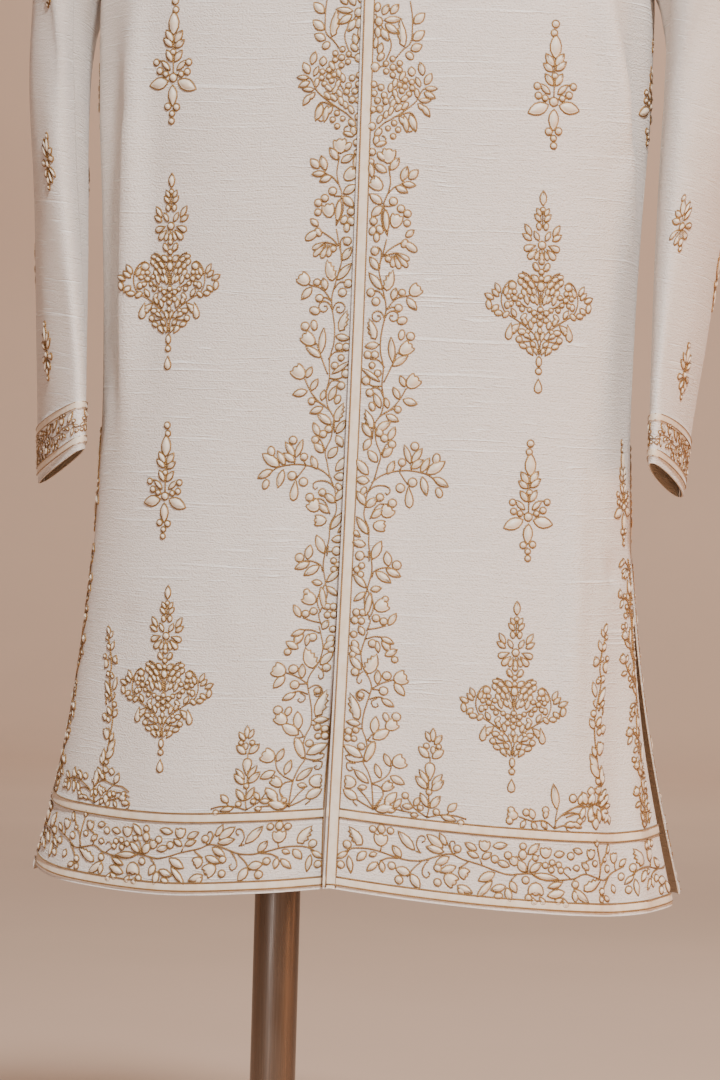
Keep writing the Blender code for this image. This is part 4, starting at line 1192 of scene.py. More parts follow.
# padded satin shapes of one kind: cord round the edge, a groove inside it, then a dome of floss
def satinShapes(cloth, kind, rows):
    x, y, turn, length, width, hand = rows.T
    count = len(rows)
    outline = outlines[kind][None] * stack([length, width], -1)[:, None]
    corners = outline.shape[1]
    cord = np.minimum(thread["cord"], thread["cordShare"] * np.minimum(length, width))
    middle = outline.mean(1, keepdims=True)
    crest, valley = drawnIn(outline, 0.5 * cord), drawnIn(outline, cord)
    shoulder = valley + thread["shoulderIn"] * (middle - valley)
    rings = stack([outline, crest, valley, shoulder], 1)
    full = np.clip(np.minimum(length, width) / thread["plumpSize"], *thread["plumpRange"])[:, None]
    lifts = np.array([[-thread["sunk"], thread["cordHeight"], thread["valley"], 0]])
    lifts = lifts + np.array([[0, 0, 0, thread["shoulder"]]]) * full
    local = join([rings.reshape(count, -1, 2), middle], axis=1)
    lift = join([np.repeat(lifts, corners, axis=1), thread["crown"] * full], axis=1)
    across = local[..., 1] * hand[:, None]
    c, s = np.cos(turn)[:, None], np.sin(turn)[:, None]
    u, v = x[:, None] + local[..., 0] * c - across * s, y[:, None] + local[..., 0] * s + across * c
    points = onCloth(cloth, u, v, lift)
    each = 4 * corners + 1
    k, after = np.arange(corners), (np.arange(corners) + 1) % corners
    strips = gridFaces(4, corners, wraps=True)
    fan = stack([3 * corners + k, 3 * corners + after, np.full(corners, 4 * corners)], -1)
    floor = k[::-1][None]
    first = (np.arange(count) * each)[:, None, None]
    edge = runningLength(join([outline, outline[:, :1]], axis=1))
    startUv, endUv = edge[:, :-1], edge[:, 1:]
    scatter = chance.uniform(0, thread["spread"], (count, 1))
    laid = ((startUv, 0), (endUv, 0), (endUv, 1 * mm), (startUv, 1 * mm))
    goldUv = [stack([join([a + scatter] * 2, 1), np.full((count, 2 * corners), float(w))], -1) for a, w in laid]
    goldUv = stack(goldUv, 2)
    satinUv = local + scatter[:, :, None]
    mirrored = hand[:, None, None] * (-1 if cloth["flip"] else 1) < 0

    def facing(faces):  # a mirrored shape's faces are turned round
        return np.where(mirrored, faces[..., ::-1], faces)

    quads, fans, floors = (facing(faces[None] + first) for faces in (strips, fan, floor))
    gold, satin = quads[:, :2 * corners], quads[:, 2 * corners:]
    goldUv = np.where(mirrored[..., None], goldUv[:, :, ::-1], goldUv)
    n = np.arange(count)[:, None, None]
    return points.reshape(-1, 3), [
        (gold.reshape(-1, 4), goldUv.reshape(-1, 2), 0),
        (satin.reshape(-1, 4), satinUv[n, satin - first].reshape(-1, 2), 1),
        (fans.reshape(-1, 3), satinUv[n, fans - first].reshape(-1, 2), 1),
        (floors.reshape(-1, corners), np.zeros((count * corners, 2)), 1)]


def throughPoints(points, step):  # an even walk along a smooth curve through a few points
    points = np.array(points, float)
    if len(points) < 3:
        count = max(2, int(np.linalg.norm(points[-1] - points[0]) / step) + 1)
        return np.linspace(points[0], points[-1], count)
    padded = join([[2 * points[0] - points[1]], points, [2 * points[-1] - points[-2]]])
    t = np.linspace(0, 1, 12, endpoint=False)[:, None, None]
    a, b, c, d = padded[:-3], padded[1:-2], padded[2:-1], padded[3:]
    fine = 0.5 * (2 * b + (c - a) * t + (2 * a - 5 * b + 4 * c - d) * t ** 2 + (3 * b - a - 3 * c + d) * t ** 3)
    fine = join([fine.transpose(1, 0, 2).reshape(-1, 2), points[-1:]])
    along = runningLength(fine)
    at = np.linspace(0, along[-1], max(3, int(along[-1] / step) + 1))
    return stack([np.interp(at, along, fine[:, k]) for k in range(2)], -1)


# gold cords: a low three-sided section carried along each line, sunk into the cloth at its foot
def cords(cloth, lines, raised, finer):
    width, height = thread["stem"] * finer, thread["stemHeight"] * finer
    ends = np.cumsum([len(l) for l in lines])
    starts = ends - [len(l) for l in lines]
    path = join(lines)
    heading = unit(join([np.gradient(l, axis=0) for l in lines]))
    side = stack([-heading[:, 1], heading[:, 0]], -1) * width / 2
    foot = np.repeat(raised, [len(l) for l in lines])
    u = stack([path[:, 0] - side[:, 0], path[:, 0], path[:, 0] + side[:, 0]], 1)
    v = stack([path[:, 1] - side[:, 1], path[:, 1], path[:, 1] + side[:, 1]], 1)
    lift = foot[:, None] + np.array([-thread["sunk"], height, -thread["sunk"]])
    points = onCloth(cloth, u, v, lift)
    inner = np.ones(len(path), bool)
    inner[ends - 1] = False
    i = np.arange(len(path))[inner]
    j, k = np.arange(3), (np.arange(3) + 1) % 3
    low = 3 * i[:, None]
    quads = stack([low + j, low + k, low + 3 + k, low + 3 + j], -1)
    steps = np.linalg.norm(np.diff(path, axis=0, append=path[-1:]), axis=-1)
    along = join([[0], np.cumsum(steps)[:-1]])
    a, b = along[i][:, None], (along[i] + steps[i])[:, None]
    across = np.array([0, 0.6, 1.2]) * mm   # the way round the cord, for its plies
    corners = ((a, across[j]), (a, across[k]), (b, across[k]), (b, across[j]))
    uv = stack([stack(np.broadcast_arrays(q, w), -1) for q, w in corners], 2)
    caps = join([3 * starts[:, None] + [0, 2, 1], 3 * (ends - 1)[:, None] + [0, 1, 2]])
    if not cloth["flip"]:
        quads, uv, caps = quads[..., ::-1], uv[:, :, ::-1], caps[:, ::-1]
    return points.reshape(-1, 3), [
        (quads.reshape(-1, 4), uv.reshape(-1, 2), 0),
        (caps, np.zeros((len(caps) * 3, 2)), 0)]


def bothSides(rows):  # each row and its mirror image
    return rows + [(-x, y, 180 - turn, length, width) for x, y, turn, length, width in rows]


def bothStems(stems):
    return stems + [[(-x, y) for x, y in stem] for stem in stems]


def aroundRow(x, y, radius, size, count, turn):  # small rounds set in a ring
    turns = [math.radians(turn + 360 * i / count) for i in range(count)]
    return [(x + radius * math.cos(a), y + radius * math.sin(a), 0, size, size) for a in turns]


class Sewing:  # what is sewn on one cloth, gathered row by row and made into one piece
    def __init__(self, cloth, inside, finer=1.0):
        self.cloth, self.inside, self.finer = cloth, inside, finer
        self.rows, self.lines, self.raised = {kind: [] for kind in outlines}, [], []

    # clip is the span across that shapes must start in, slide an edge that u is counted from
    def place(self, name, u, v, scale=1.0, mirror=False, clip=None, slide=None, fuller=1.15):
        chart, hand = motifs[name], -1 if mirror else 1

        def laid(xy):
            at = np.asarray(xy, float) * (scale * mm * hand, scale * mm) + (u, v)
            if slide is not None:
                at = at + stack([slide(at[..., 1]), 0 * at[..., 1]], -1)
            return at

        def kept(at, reach):
            good = self.inside(at[:, 0], at[:, 1], reach)
            return good & (at[:, 0] > clip[0]) & (at[:, 0] < clip[1]) if clip else good

        for kind in outlines:
            if not chart.get(kind):
                continue
            rows = np.array(chart[kind], float)
            at = laid(rows[:, :2])
            heading = np.radians(rows[:, 2])
            heading = np.where(mirror, math.pi - heading, heading)
            grown = scale * (1.0 if kind in ("bud", "toothed") else fuller)
            rows = np.column_stack([at, heading, rows[:, 3:5] * mm * grown, np.full(len(rows), float(hand))])
            toMiddle = (0 if kind == "oval" else 0.5) * rows[:, 3:4]
            middle = at + toMiddle * stack([np.cos(heading), np.sin(heading)], -1)
            self.rows[kind].append(rows[kept(middle, rows[:, 3] / 2)])
        for stem in chart.get("stem", []):
            path = throughPoints(laid(stem), thread["step"])
            keep = kept(path, 1 * mm)
            last = len(path) if keep.all() else int(np.argmin(keep))
            if last >= 2:
                self.lines.append(path[:last])
                self.raised.append(0.0)

    def line(self, points, raised):
        self.lines.append(throughPoints(points, thread["lineStep"]))
        self.raised.append(raised)

    def make(self, name):
        made = [cords(self.cloth, self.lines, np.array(self.raised), self.finer)] if self.lines else []
        shapes = 0
        for kind, rows in self.rows.items():
            rows = join(rows) if rows else np.zeros((0, 6))
            shapes += len(rows)
            if len(rows):
                made.append(satinShapes(self.cloth, kind, rows))
        points, groups, first = [], [], 0
        for some, faces in made:
            groups += [(f + first, uv, m) for f, uv, m in faces]
            points.append(some)
            first += len(some)
        piece = makeMesh(name, join(points), groups, [goldThread, floss])
        triangles = sum(len(f) * (f.shape[1] - 2) for f, _, _ in groups)
        print(name, shapes, "shapes", len(self.lines), "cords", triangles, "triangles")
        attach(piece, "root")
        return piece


# charts of the embroidery, in mm: each shape's base, turn, length and width, or a round's middle and size
def shapes(text):
    return [tuple(row) if len(row) == 5 else (row[0], row[1], 0, row[2], row[2]) for row in numbers(text)]


def stems(text):
    return [[tuple(point) for point in numbers(stem)] for stem in text.split("/")]


motifs = {}
motifs["garlandRosebuds"] = {
    "leaf": shapes("""15 125.5 130 17.5 7, 11 142 125 13 7, 23 117 75 10.5 6.5, 34.5 120.5 -50 13 7,
    14.5 80 -170 12 6.5, 25.5 64 95 20.5 6.5, 24.5 61.5 35 15.5 6.5, 16.5 48 145 18.5 5, 17.5 25.5 115 13.5 6.5,
    33 33.5 120 11.5 6, 34.5 34 -15 12.5 7, 23.5 25.5 105 9.5 5.5, 21 21 -25 12 6.5, 13.5 6.5 35 14.5 7,
    37 44 115 10.5 6"""),
    "toothed": shapes("18 124.5 75 20 11, 11 83.5 110 20 10, 12 8.5 115 19 9.5"),
    "bud": shapes("37 122 40 12.5 12, 30.5 72 40 14.5 12, 38 44 45 14 13"),
    "oval": shapes("""7 158.5 7.5, 18.5 152 6, 5 123.5 7.5, 9.5 116 7.5, 31 124 6.5, 28.5 111 7, 4.5 71 7, 10.5 71 7,
    39.5 87.5 7.5, 8.5 62 6, 13.5 55.5 6.5, 4 49 7.5, 7.5 39 7, 31.5 25.5 6.5, 32 100.5 20 9 7, 32 88.5 80 9 6,
    10 27.5 110 8 6, 37 162.5 -35 12 7, 31.5 165.5 60 8 6"""),
    "petal": shapes("21.5 156 -85 10 5.5, 22.5 156.5 -65 12.5 5.5, 23.5 157 -45 14.5 5.5, 24.5 158 -30 12 5"),
    "stem": stems("""16.5 168.5, 13.5 154.5, 11 143.5, 14 130, 18 113, 17.5 103, 15 87.5, 15 74, 18 60.5, 17.5 45.5,
    19.5 33.5, 18 22, 12.5 12, 11.5 0 / 17 118, 12 124.5, 6.5 124.5 / 18.5 109, 24 116.5, 29 120, 37.5 122 / 18.5 109,
    22.5 111.5, 25.5 111.5 / 17.5 102, 20.5 107, 25 108.5, 28.5 105.5, 28 101.5, 24.5 99.5, 21.5 101.5, 22 104.5,
    24.5 104.5 / 17.5 100, 15 106.5, 10.5 108, 7 105, 7.5 101, 11 99, 14 101, 13.5 104, 11 104 / 19 60.5, 14 66.5,
    6.5 67.5 / 19 48, 24.5 61, 29.5 74, 30.5 72 / 18 45, 11 44.5, 5 47 / 19.5 34.5, 16 42, 11 43.5, 8 41.5 / 16.5 19,
    25.5 25.5, 32.5 33.5, 38 44 / 14.5 154.5, 18.5 159.5, 27.5 165.5, 34 168 / 11.5 143.5, 12.5 158.5, 9 162 /
    14.5 154.5, 22.5 157, 26 157 / 20 22, 26.5 25.5, 30.5 25.5"""),
}
motifs["garlandBranch"] = {
    "leaf": shapes("""11 164.5 125 14 7, 10.5 164.5 -120 11.5 7, 24.5 162 65 12.5 6.5, 20 148 45 11.5 7,
    17 143.5 130 12.5 7.5, 10 132.5 130 16 8, 11.5 128 175 11.5 7.5, 25 133.5 65 12.5 6.5, 44.5 142.5 110 16.5 6,
    44.5 144 55 14.5 6.5, 44 139.5 35 12.5 7, 52.5 136 60 14 6.5, 57 135 35 18 9, 63 133 -30 14.5 7, 54 134 -75 16 7,
    9 107 125 14 7, 8 105.5 40 12 7, 13 96.5 40 12.5 6.5, 12 82.5 125 17 7, 11 74 170 12 7, 15.5 61.5 65 16.5 8,
    30 56 100 12.5 7.5, 27 54.5 -25 13.5 7, 18.5 52.5 -35 15.5 7.5, 13 37 135 16 6.5, 12.5 34.5 -140 12.5 6,
    15 36 10 9.5 6, 31.5 5 60 12.5 6.5"""),
    "bud": shapes("14.5 90.5 0 12 11, 19.5 19 30 13.5 13, 22.5 98 50 12 13"),
    "oval": shapes("""17 169 7, 21.5 164.5 7, 28 159.5 7, 37 144.5 7, 47 158.5 7.5, 36.5 123 8, 46.5 128 8,
    20 114.5 7, 30.5 110 7.5, 5.5 65 8, 36.5 58 8, 7.5 56.5 6, 3.5 53 6, 7 49 6, 28.5 28.5 6, 5 16 7, 10 16 6.5,
    4 9 7, 9.5 8.5 6.5, 21.5 11.5 7, 28 9 7, 65.5 148.5 80 9 7, 69 120 110 9 6.5, 6 119.5 60 8 5.5,
    14.5 23.5 80 19 6"""),
    "petal": shapes("43 126 -85 17.5 7.5, 6 80 140 8 5.5"),
    "stem": stems("""13 177, 14.5 162, 19 150, 17 140, 14 128, 9.5 118, 8 108, 7.5 98, 12 87.5, 12.5 74, 15.5 60.5,
    16 50.5, 13 36.5, 11 25.5, 15.5 12.5, 17 8.5, 14.5 0 / 13 36.5, 18.5 25.5, 18.5 17.5, 15.5 11 / 12.5 126.5,
    20.5 133, 30 136.5, 41.5 138, 53.5 136.5, 60.5 134, 67.5 128 / 19 150, 22 157, 26.5 163.5 / 10 119, 15 123.5,
    22 124.5, 27.5 122.5, 28 119, 26 117, 24 118.5 / 35 136.5, 39.5 130, 42.5 126 / 12.5 96, 16 104.5, 20.5 109,
    26.5 108.5 / 35 137.5, 37 141 / 45 138, 44 142.5 / 17 110.5, 22 113.5 / 16.5 47, 18.5 52.5, 26 55.5, 32 55.5 /
    14 64, 9 64.5 / 13.5 36.5, 9 44 / 15.5 1.5, 23 3, 30 5.5 / 13.5 60.5, 12.5 69"""),
}
motifs["garlandFoot"] = {
    "leaf": shapes("""10 131 140 11 6.5, 12 147 120 9 6, 28 131 30 11 6.5, 21.5 144.5 -80 10.5 5, 25 144 -50 12 5.5,
    24 147 -25 11.5 5.5, 11.5 117.5 130 14.5 7, 24 106 90 12 6, 36.5 109.5 -50 13 7, 27 95 -30 11.5 6,
    13.5 71.5 175 11.5 6, 23 63.5 85 14.5 7.5, 22 59.5 35 15 8.5, 16 43 150 16.5 8, 22 21.5 140 15 6.5,
    37.5 37.5 115 11.5 6, 37 30.5 -25 12.5 7, 30.5 26.5 110 12.5 6, 34 5.5 50 14 7.5, 27 0 20 14.5 7.5,
    21 19 -165 8 5, 14 7 150 13 8"""),
    "toothed": shapes("16 114.5 70 20 13, 11.5 74.5 110 25.5 11"),
    "bud": shapes("""36 110.5 25 12.5 13, 32 69 40 12 11, 38.5 39.5 30 12.5 13, 12.5 21 180 11 12,
    31.5 17.5 40 11.5 9"""),
    "oval": shapes("""18.5 141 7, 30 139 6, 36.5 128.5 6, 3.5 131 6, 3.5 148 6, 6 116 7, 31 114.5 7.5, 29 101.5 7.5,
    11.5 96.5 6, 40 80.5 7.5, 3.5 64.5 6.5, 9 66 6, 3 58.5 6.5, 8 58.5 5.5, 14 52.5 6.5, 5 139.5 120 8 6,
    32 79.5 110 8 5.5, 21 49 70 18 7"""),
    "stem": stems("""14.5 150.5, 12.5 144, 10 132, 12.5 120, 18 110, 19.5 102.5, 17 91.5, 14.5 80, 14 68, 17.5 58.5,
    18.5 49.5, 16 40, 20 32.5, 23.5 22.5, 25 10.5, 26 0.5 / 17.5 58.5, 24 56, 24 47.5, 16.5 40 / 13.5 144.5, 20 147,
    29 146.5 / 19.5 102.5, 26.5 107.5, 32 110, 36 111.5 / 19.5 102.5, 26.5 102 / 19 98, 12.5 101.5, 7.5 97, 10.5 91.5,
    14 94, 12.5 97 / 18.5 93.5, 24 96, 29.5 95.5, 30 94 / 24.5 95, 20 91.5, 22 87, 25.5 88, 24.5 90.5 / 19 58.5,
    23 64.5, 32 69.5 / 16 40, 8.5 38.5, 3 40.5, 2.5 44, 6 43.5 / 10.5 37.5, 3.5 37, 4.5 31, 9 31.5, 7 34 / 23.5 22,
    31 26, 36.5 32, 38.5 39.5 / 23.5 22, 30.5 20, 33 13, 27 1 / 26 1.5, 19.5 10.5, 13 17 / 26 1, 18 4.5, 12 7.5, 10 5,
    13.5 2 / 12.5 117, 8.5 112.5, 8 107.5, 11 106.5, 11.5 110 / 14 68, 6.5 66.5, 5.5 59.5 / 25 0.5, 33 13"""),
}
motifs["garlandCluster"] = {
    "leaf": shapes("""32.5 181 45 12.5 8, 32 167 40 12.5 8, 30.5 159 25 10.5 7.5, 6.5 187.5 60 10 6.5,
    13 188.5 50 10.5 6.5, 7.5 183.5 5 14.5 6, 8.5 181 -35 13.5 7, 6 177.5 -60 12 7, 1.5 159 85 10.5 5,
    4.5 154.5 75 10 6, 42.5 137.5 105 11.5 6.5, 43.5 130 60 11 7, 43 127.5 0 11 5, 42.5 124.5 -25 11 6,
    38.5 117.5 0 10.5 5, 40.5 128 115 9.5 5, 38 115.5 -45 9 5, 41.5 114.5 -55 12 6, 33 136.5 95 8.5 7,
    23 104.5 -55 10 5.5, 27.5 105.5 -80 14.5 6, 32 106.5 -70 15 7, 17 58 55 12.5 7, 15.5 56.5 150 12.5 7,
    3 51 100 13.5 6, 27 49 70 13 7, 32.5 51 45 11 7.5, 27 47.5 -5 11.5 6, 21.5 45.5 -25 11.5 6.5, 12.5 30 145 13 7.5,
    12.5 29 -135 12.5 7.5, 31.5 2.5 40 9.5 6"""),
    "toothed": shapes("26 161 100 26 9.5"),
    "bud": shapes("14.5 63.5 80 14 13, 12 42 140 14 12, 22 9.5 75 13.5 12"),
    "oval": shapes("""1.5 130 6, 2 122.5 6, 7.5 127.5 6, 5 116.5 6, 10.5 121 6, 1.5 109 6, 7 109.5 6.5, 12 116 6,
    2 144.5 8, 27.5 134 5.5, 33 132.5 5.5, 27.5 128.5 5.5, 33.5 127.5 5.5, 23 130 5.5, 25 125 5.5, 31 122.5 5.5,
    16.5 151.5 5.5, 22.5 148 5.5, 22.5 142.5 5.5, 17 138 5.5, 11.5 141 5.5, 11 147.5 5.5, 17 144.5 6, 14.5 93.5 5,
    19.5 98 5.5, 23 92.5 5.5, 19 87 5.5, 1 95 7, 2 73.5 6.5, 1.5 65.5 5.5, 21 32.5 7.5, 27.5 26.5 7, 33 22.5 7,
    33 14.5 6.5, 5 15.5 7, 4 182.5 95 8 7, 3.5 173.5 95 9 6, 30.5 154.5 -45 8 6.5, 6.5 153 50 8 6, 2.5 194.5 80 8 6,
    15.5 127.5 75 8 5, 19 131.5 70 8 5, 25 137.5 60 8.5 5, 19.5 122.5 110 8 5, 18 114.5 60 8 5, 23 111 45 8 5,
    28 112.5 50 8 5, 16.5 108.5 70 8.5 5, 21.5 117.5 120 8 5, 27.5 119 40 8 5, 37.5 123.5 100 8 5, 7.5 101 60 8 5,
    12.5 105 70 7 5, 5 83.5 80 8 6, 9 80.5 15 10 5, 6.5 90 45 8 6, 9.5 70 -50 9 6, 15.5 16.5 95 17 6,
    4.5 7.5 60 8 6.5, 10.5 8.5 120 8 6.5, 8 2 90 8 6"""),
    "stem": stems("""29.5 200, 31.5 189, 32 176.5, 31 165.5, 24.5 159, 19.5 152.5 / 2 143.5, 9 145.5, 11.5 145.5 /
    11.5 98, 20.5 103.5, 29 109.5, 37.5 117, 43 127, 52.5 127.5 / 0 105.5, 10.5 112.5, 21 127.5, 26 132.5 / 16 62,
    18 49, 16.5 40, 13 29, 17.5 18, 17 3.5 / 13 29, 11.5 16.5, 17 3.5 / 16.5 39, 21.5 44.5, 28 48, 30 56.5 / 13 28.5,
    19.5 28.5, 21 31 / 11.5 98, 4.5 91, 4 82, 11.5 80, 13 85.5, 9.5 87.5 / 20.5 103.5, 33 107, 38 98, 33.5 91,
    30 92.5 / 9 145.5, 15 163.5, 7 178, 1 189"""),
}
motifs["hemScroll"] = {
    "leaf": shapes("""9.5 22 -145 11.5 5.5, 9.5 19.5 -80 14.5 6, 24.5 25 -130 11.5 7, 53.5 23 130 12 7,
    34.5 17.5 -135 12.5 6, 36.5 19 -80 10 6, 64.5 30.5 135 19.5 8, 88 35.5 145 16.5 8, 89 32.5 170 15 7,
    90 37.5 120 11.5 6, 62 11 170 12.5 8, 61 11.5 -55 13.5 8, 93.5 29.5 -145 14 7, 99.5 22 -155 14.5 7,
    99.5 6 -20 13.5 7, 100 4.5 -40 9 5.5, 116 37 155 11.5 6.5, 127.5 41.5 10 12.5 6.5, 118 31 160 11 6,
    119 30 35 10 6, 132 20 -150 15.5 8, 130 13.5 -130 19 6.5, 144 14.5 -60 11 7, 141.5 9.5 -160 13 7,
    141.5 9 -75 12 7, 157.5 21.5 125 11.5 8, 158 36.5 45 13.5 7, 180.5 38 10 10 6.5, 160 22 40 13 7,
    162 20.5 -5 22 6.5, 190.5 15.5 -160 13.5 6, 193 8 -165 15.5 8, 199.5 11.5 -40 18 7, 200.5 10.5 -80 10.5 6,
    33.5 24.5 -155 7.5 5, 144 26 165 11.5 6.5, 208 41 165 9.5 6, 214.5 26.5 140 9.5 6, 206 28.5 -175 7 6,
    222.5 45.5 105 7 5, 236 40 80 8.5 5, 230.5 -1 115 7.5 5.5, 231.5 6 -30 8.5 5.5, 242.5 16 -65 8.5 6,
    251 29.5 40 9.5 6"""),
    "toothed": shapes("21 29 130 20 12, 209 9 30 22 11"),
    "bud": shapes("""35.5 30 90 12 13, 89 14 -35 13 13, 100.5 19.5 -30 10 11, 121.5 36 90 10.5 11, 148 26 105 9.5 9.5,
    174 34 90 10.5 11.5, 166.5 15 -90 12.5 15, 215.5 35 90 10 9.5, 245.5 32 95 10.5 10"""),
    "oval": shapes("""8 28 7.5, 3.5 10 7, 28.5 44.5 6.5, 43 45 6.5, 45.5 15.5 7, 99 36.5 7, 52 4.5 7.5, 83.5 18.5 7,
    84 6.5 7, 130.5 31 7, 141.5 35 7, 154 43.5 6.5, 165 34.5 6, 174 29 6, 180 31.5 6, 186 30 6, 179.5 25.5 6,
    188 25.5 6, 157.5 15.5 7, 160.5 1 6.5, 201.5 14.5 7, 196.5 38 7, 220 32.5 6, 236 28.5 7, 229 9.5 6.5,
    253.5 21.5 7, 232 36 5, 35.5 45.5 90 8 7, 154 36.5 90 8.5 7.5, 135 0.5 20 8 6"""),
    "petal": shapes("192 3.5 -145 9 6, 191 3.5 -70 8.5 6, 164 2.5 -75 7 6, 169.5 3.5 -55 8 6"),
    "stem": stems("""6.5 21.5, 13 25.5, 22.5 27, 33.5 26.5, 45 24, 58 22, 69.5 23, 78.5 26.5, 88 30.5, 95.5 31.5,
    103 28.5, 112.5 26.5, 121.5 24.5, 131 21.5, 142.5 19, 153.5 20.5, 163 21, 174 16.5, 187.5 17.5, 200.5 19.5,
    209.5 23.5, 221 21, 232 19, 241.5 24.5, 256.5 30 / 50.5 22.5, 42 21.5, 35.5 18 / 68.5 29.5, 65 36, 66.5 42.5,
    70.5 44.5, 72.5 41, 69.5 38.5 / 77 26, 72 18.5, 71 12, 75 9, 77.5 12.5, 75.5 14.5 / 70 22.5, 63.5 15.5, 59 8 /
    69.5 29.5, 64.5 30.5 / 95.5 31.5, 91 39.5, 88 46 / 95.5 31.5, 92.5 40.5, 95.5 43, 97 40.5 / 95.5 31.5, 101 34.5 /
    101 20.5, 105 23.5, 108.5 26.5 / 120 25.5, 118 30.5 / 150 20, 145 14.5 / 159 21, 153.5 31, 154.5 39.5 / 159 21,
    160 31.5, 168.5 37 / 191 18, 186.5 11.5, 183.5 5 / 200.5 19.5, 202 13.5 / 225.5 20.5, 226.5 30, 222.5 45.5 /
    226.5 30, 232 37.5, 236 46.5 / 238 22, 232 13.5, 230.5 6, 230.5 -1 / 196.5 19.5, 190 25, 194 29, 197 26 /
    211.5 24, 209 32, 216.5 37 / 36.5 30.5, 35.5 26.5 / 247 26.5, 245.5 35 / 9.5 22, 8.5 25"""),
}
motifs["spray"] = {
    "leaf": shapes("""1.5 63.5 90 12.5 6, 0 63.5 115 10.5 5.5, 2.5 61.5 55 11 6, -0.5 50 135 13 7.5, 1 50 40 12.5 7.5,
    0 27.5 125 15 6, 1.5 27 50 13.5 6, -1 23.5 135 14.5 7.5, 1.5 22.5 45 14 7.5, 0 8 120 14 6.5, 1 7.5 55 14 7,
    -28.5 4 55 11.5 6, -22 7.5 0 10 6, -25.5 2.5 -180 10 5.5, -12 8 60 9.5 6, -15 0.5 5 7.5 5.5, 15 6.5 45 11 7,
    9.5 2.5 -10 13.5 6"""),
    "oval": shapes("""-3.5 60.5 6, 6.5 60.5 5.5, 0 21.5 6, -19 16.5 6.5, -33 7.5 6, -6.5 7.5 6, 6.5 5.5 6.5,
    26.5 -1.5 6.5, 2 57.5 90 7 5"""),
    "petal": shapes("0.5 30 92 16 9"),
    "stem": stems("""0 51.5, -0.5 24.5, 0.5 9.5, -1 0 / -1 0.5, -6.5 3.5, -12 7.5, -17 14.5 / -12 2.5, -22 3.5,
    -28.5 4.5 / -1 0, 10 3.5, 22 4, 31 2 / 15 4, 17.5 7.5 / -20 3, -24.5 9.5"""),
}
motifs["tallSpray"] = {
    "leaf": shapes("""4 169.5 70 11 6, 4 167 115 8.5 5, 6.5 164.5 75 6 5.5, 1 154.5 110 11 6, 1.5 154.5 60 9.5 7,
    0 129 125 5 5, 1 127.5 60 8 7, -5 114 105 15 6.5, -2.5 108 60 18.5 7, 0 105.5 50 9.5 5.5, -4 88.5 60 11.5 7,
    -6 87 120 11 7, -1.5 81 75 8 7, -3.5 62.5 115 11 6, -1.5 50.5 120 17.5 8, 1 44.5 130 16.5 8.5, 2.5 39.5 140 8 6.5,
    3.5 39 90 16.5 6.5, 4 38 75 11.5 6, 6 82.5 115 9 7, -12.5 21 115 13 8, -8.5 28.5 90 9 8.5, 1 23.5 60 9 7,
    2.5 26 50 13 6, 7.5 22 55 11.5 6.5, 8.5 20 15 9.5 5.5, 12.5 15 -110 9 6.5, 14.5 14.5 -75 9.5 5.5, 6.5 20 -95 10 6,
    -4 12.5 -145 8.5 7, -3.5 12 -85 11.5 8.5, -2.5 13.5 10 5.5 7, -33.5 5 -10 10.5 7"""),
    "bud": shapes("-1.5 145 165 8 10, 2.5 141.5 0 7.5 11, 0 64 80 13.5 10, 1.5 30.5 115 8.5 9"),
    "oval": shapes("-7.5 101 7, 1.5 148.5 5.5, 9.5 149 6, -3 129 5.5, 5.5 88.5 7"),
    "stem": stems("""5.5 167, 1.5 154.5, -1 140, 1 128, -2.5 113, -6 96, -5.5 79.5, -2.5 62.5, 1 45.5, 4 38 /
    -1.5 103, 2.5 109.5, 4.5 103, 3.5 100 / -2.5 105.5, -6.5 107, -8 111.5, -6 113 / -32 15, -23.5 19.5, -12 20.5,
    -1 23.5, 6.5 22, 15 15 / -1.5 23, 1 32, 3 38 / -33 10, -23.5 13.5, -15 13, -13.5 9.5, -16 7, -18 9 / -29 -2,
    -32 0, -33.5 5 / -12 20.5, -4 13.5, -4 8.5 / -4 13.5, 0 15"""),
}
motifs["sideSprig"] = {
    "leaf": shapes("""2 15 100 22 8, 22 20 75 11 6.5, 31 21 60 12 7, 36 20 95 13 7, 43 19 40 12 6.5, 46 17 -10 10 6,
    34 21 -95 14 6.5, 41 19 -75 13 6.5, 28 20 -110 13 6.5, -9 7 75 9 6, -12 6 -50 9 6, -18 6 110 10 7, -20 5 -60 9 6,
    -25 6 -120 9 5.5, 14 6 -20 12 6, 52 16 -60 10 6, 8 2 20 11 5.5"""),
    "oval": shapes("16 26 8, 27 28 7, 50 12 7, -8 15 7, -25 12 7, -38 13 7, -39 4 7, 23 7 6.5"),
    "bud": shapes("-31 8 170 11 10"),
    "stem": stems("""0 0, 3 8, 13 16, 29 22, 45 20, 53 14 / 0 0, -9 6, -19 5, -31 8 / 6 11, 15 14, 22 13, 24 10 /
    36 21, 35 10 / 45 20, 48 8 / 0 0, 9 3, 20 2 / 1 2, 1 8, 2.5 17"""),
}
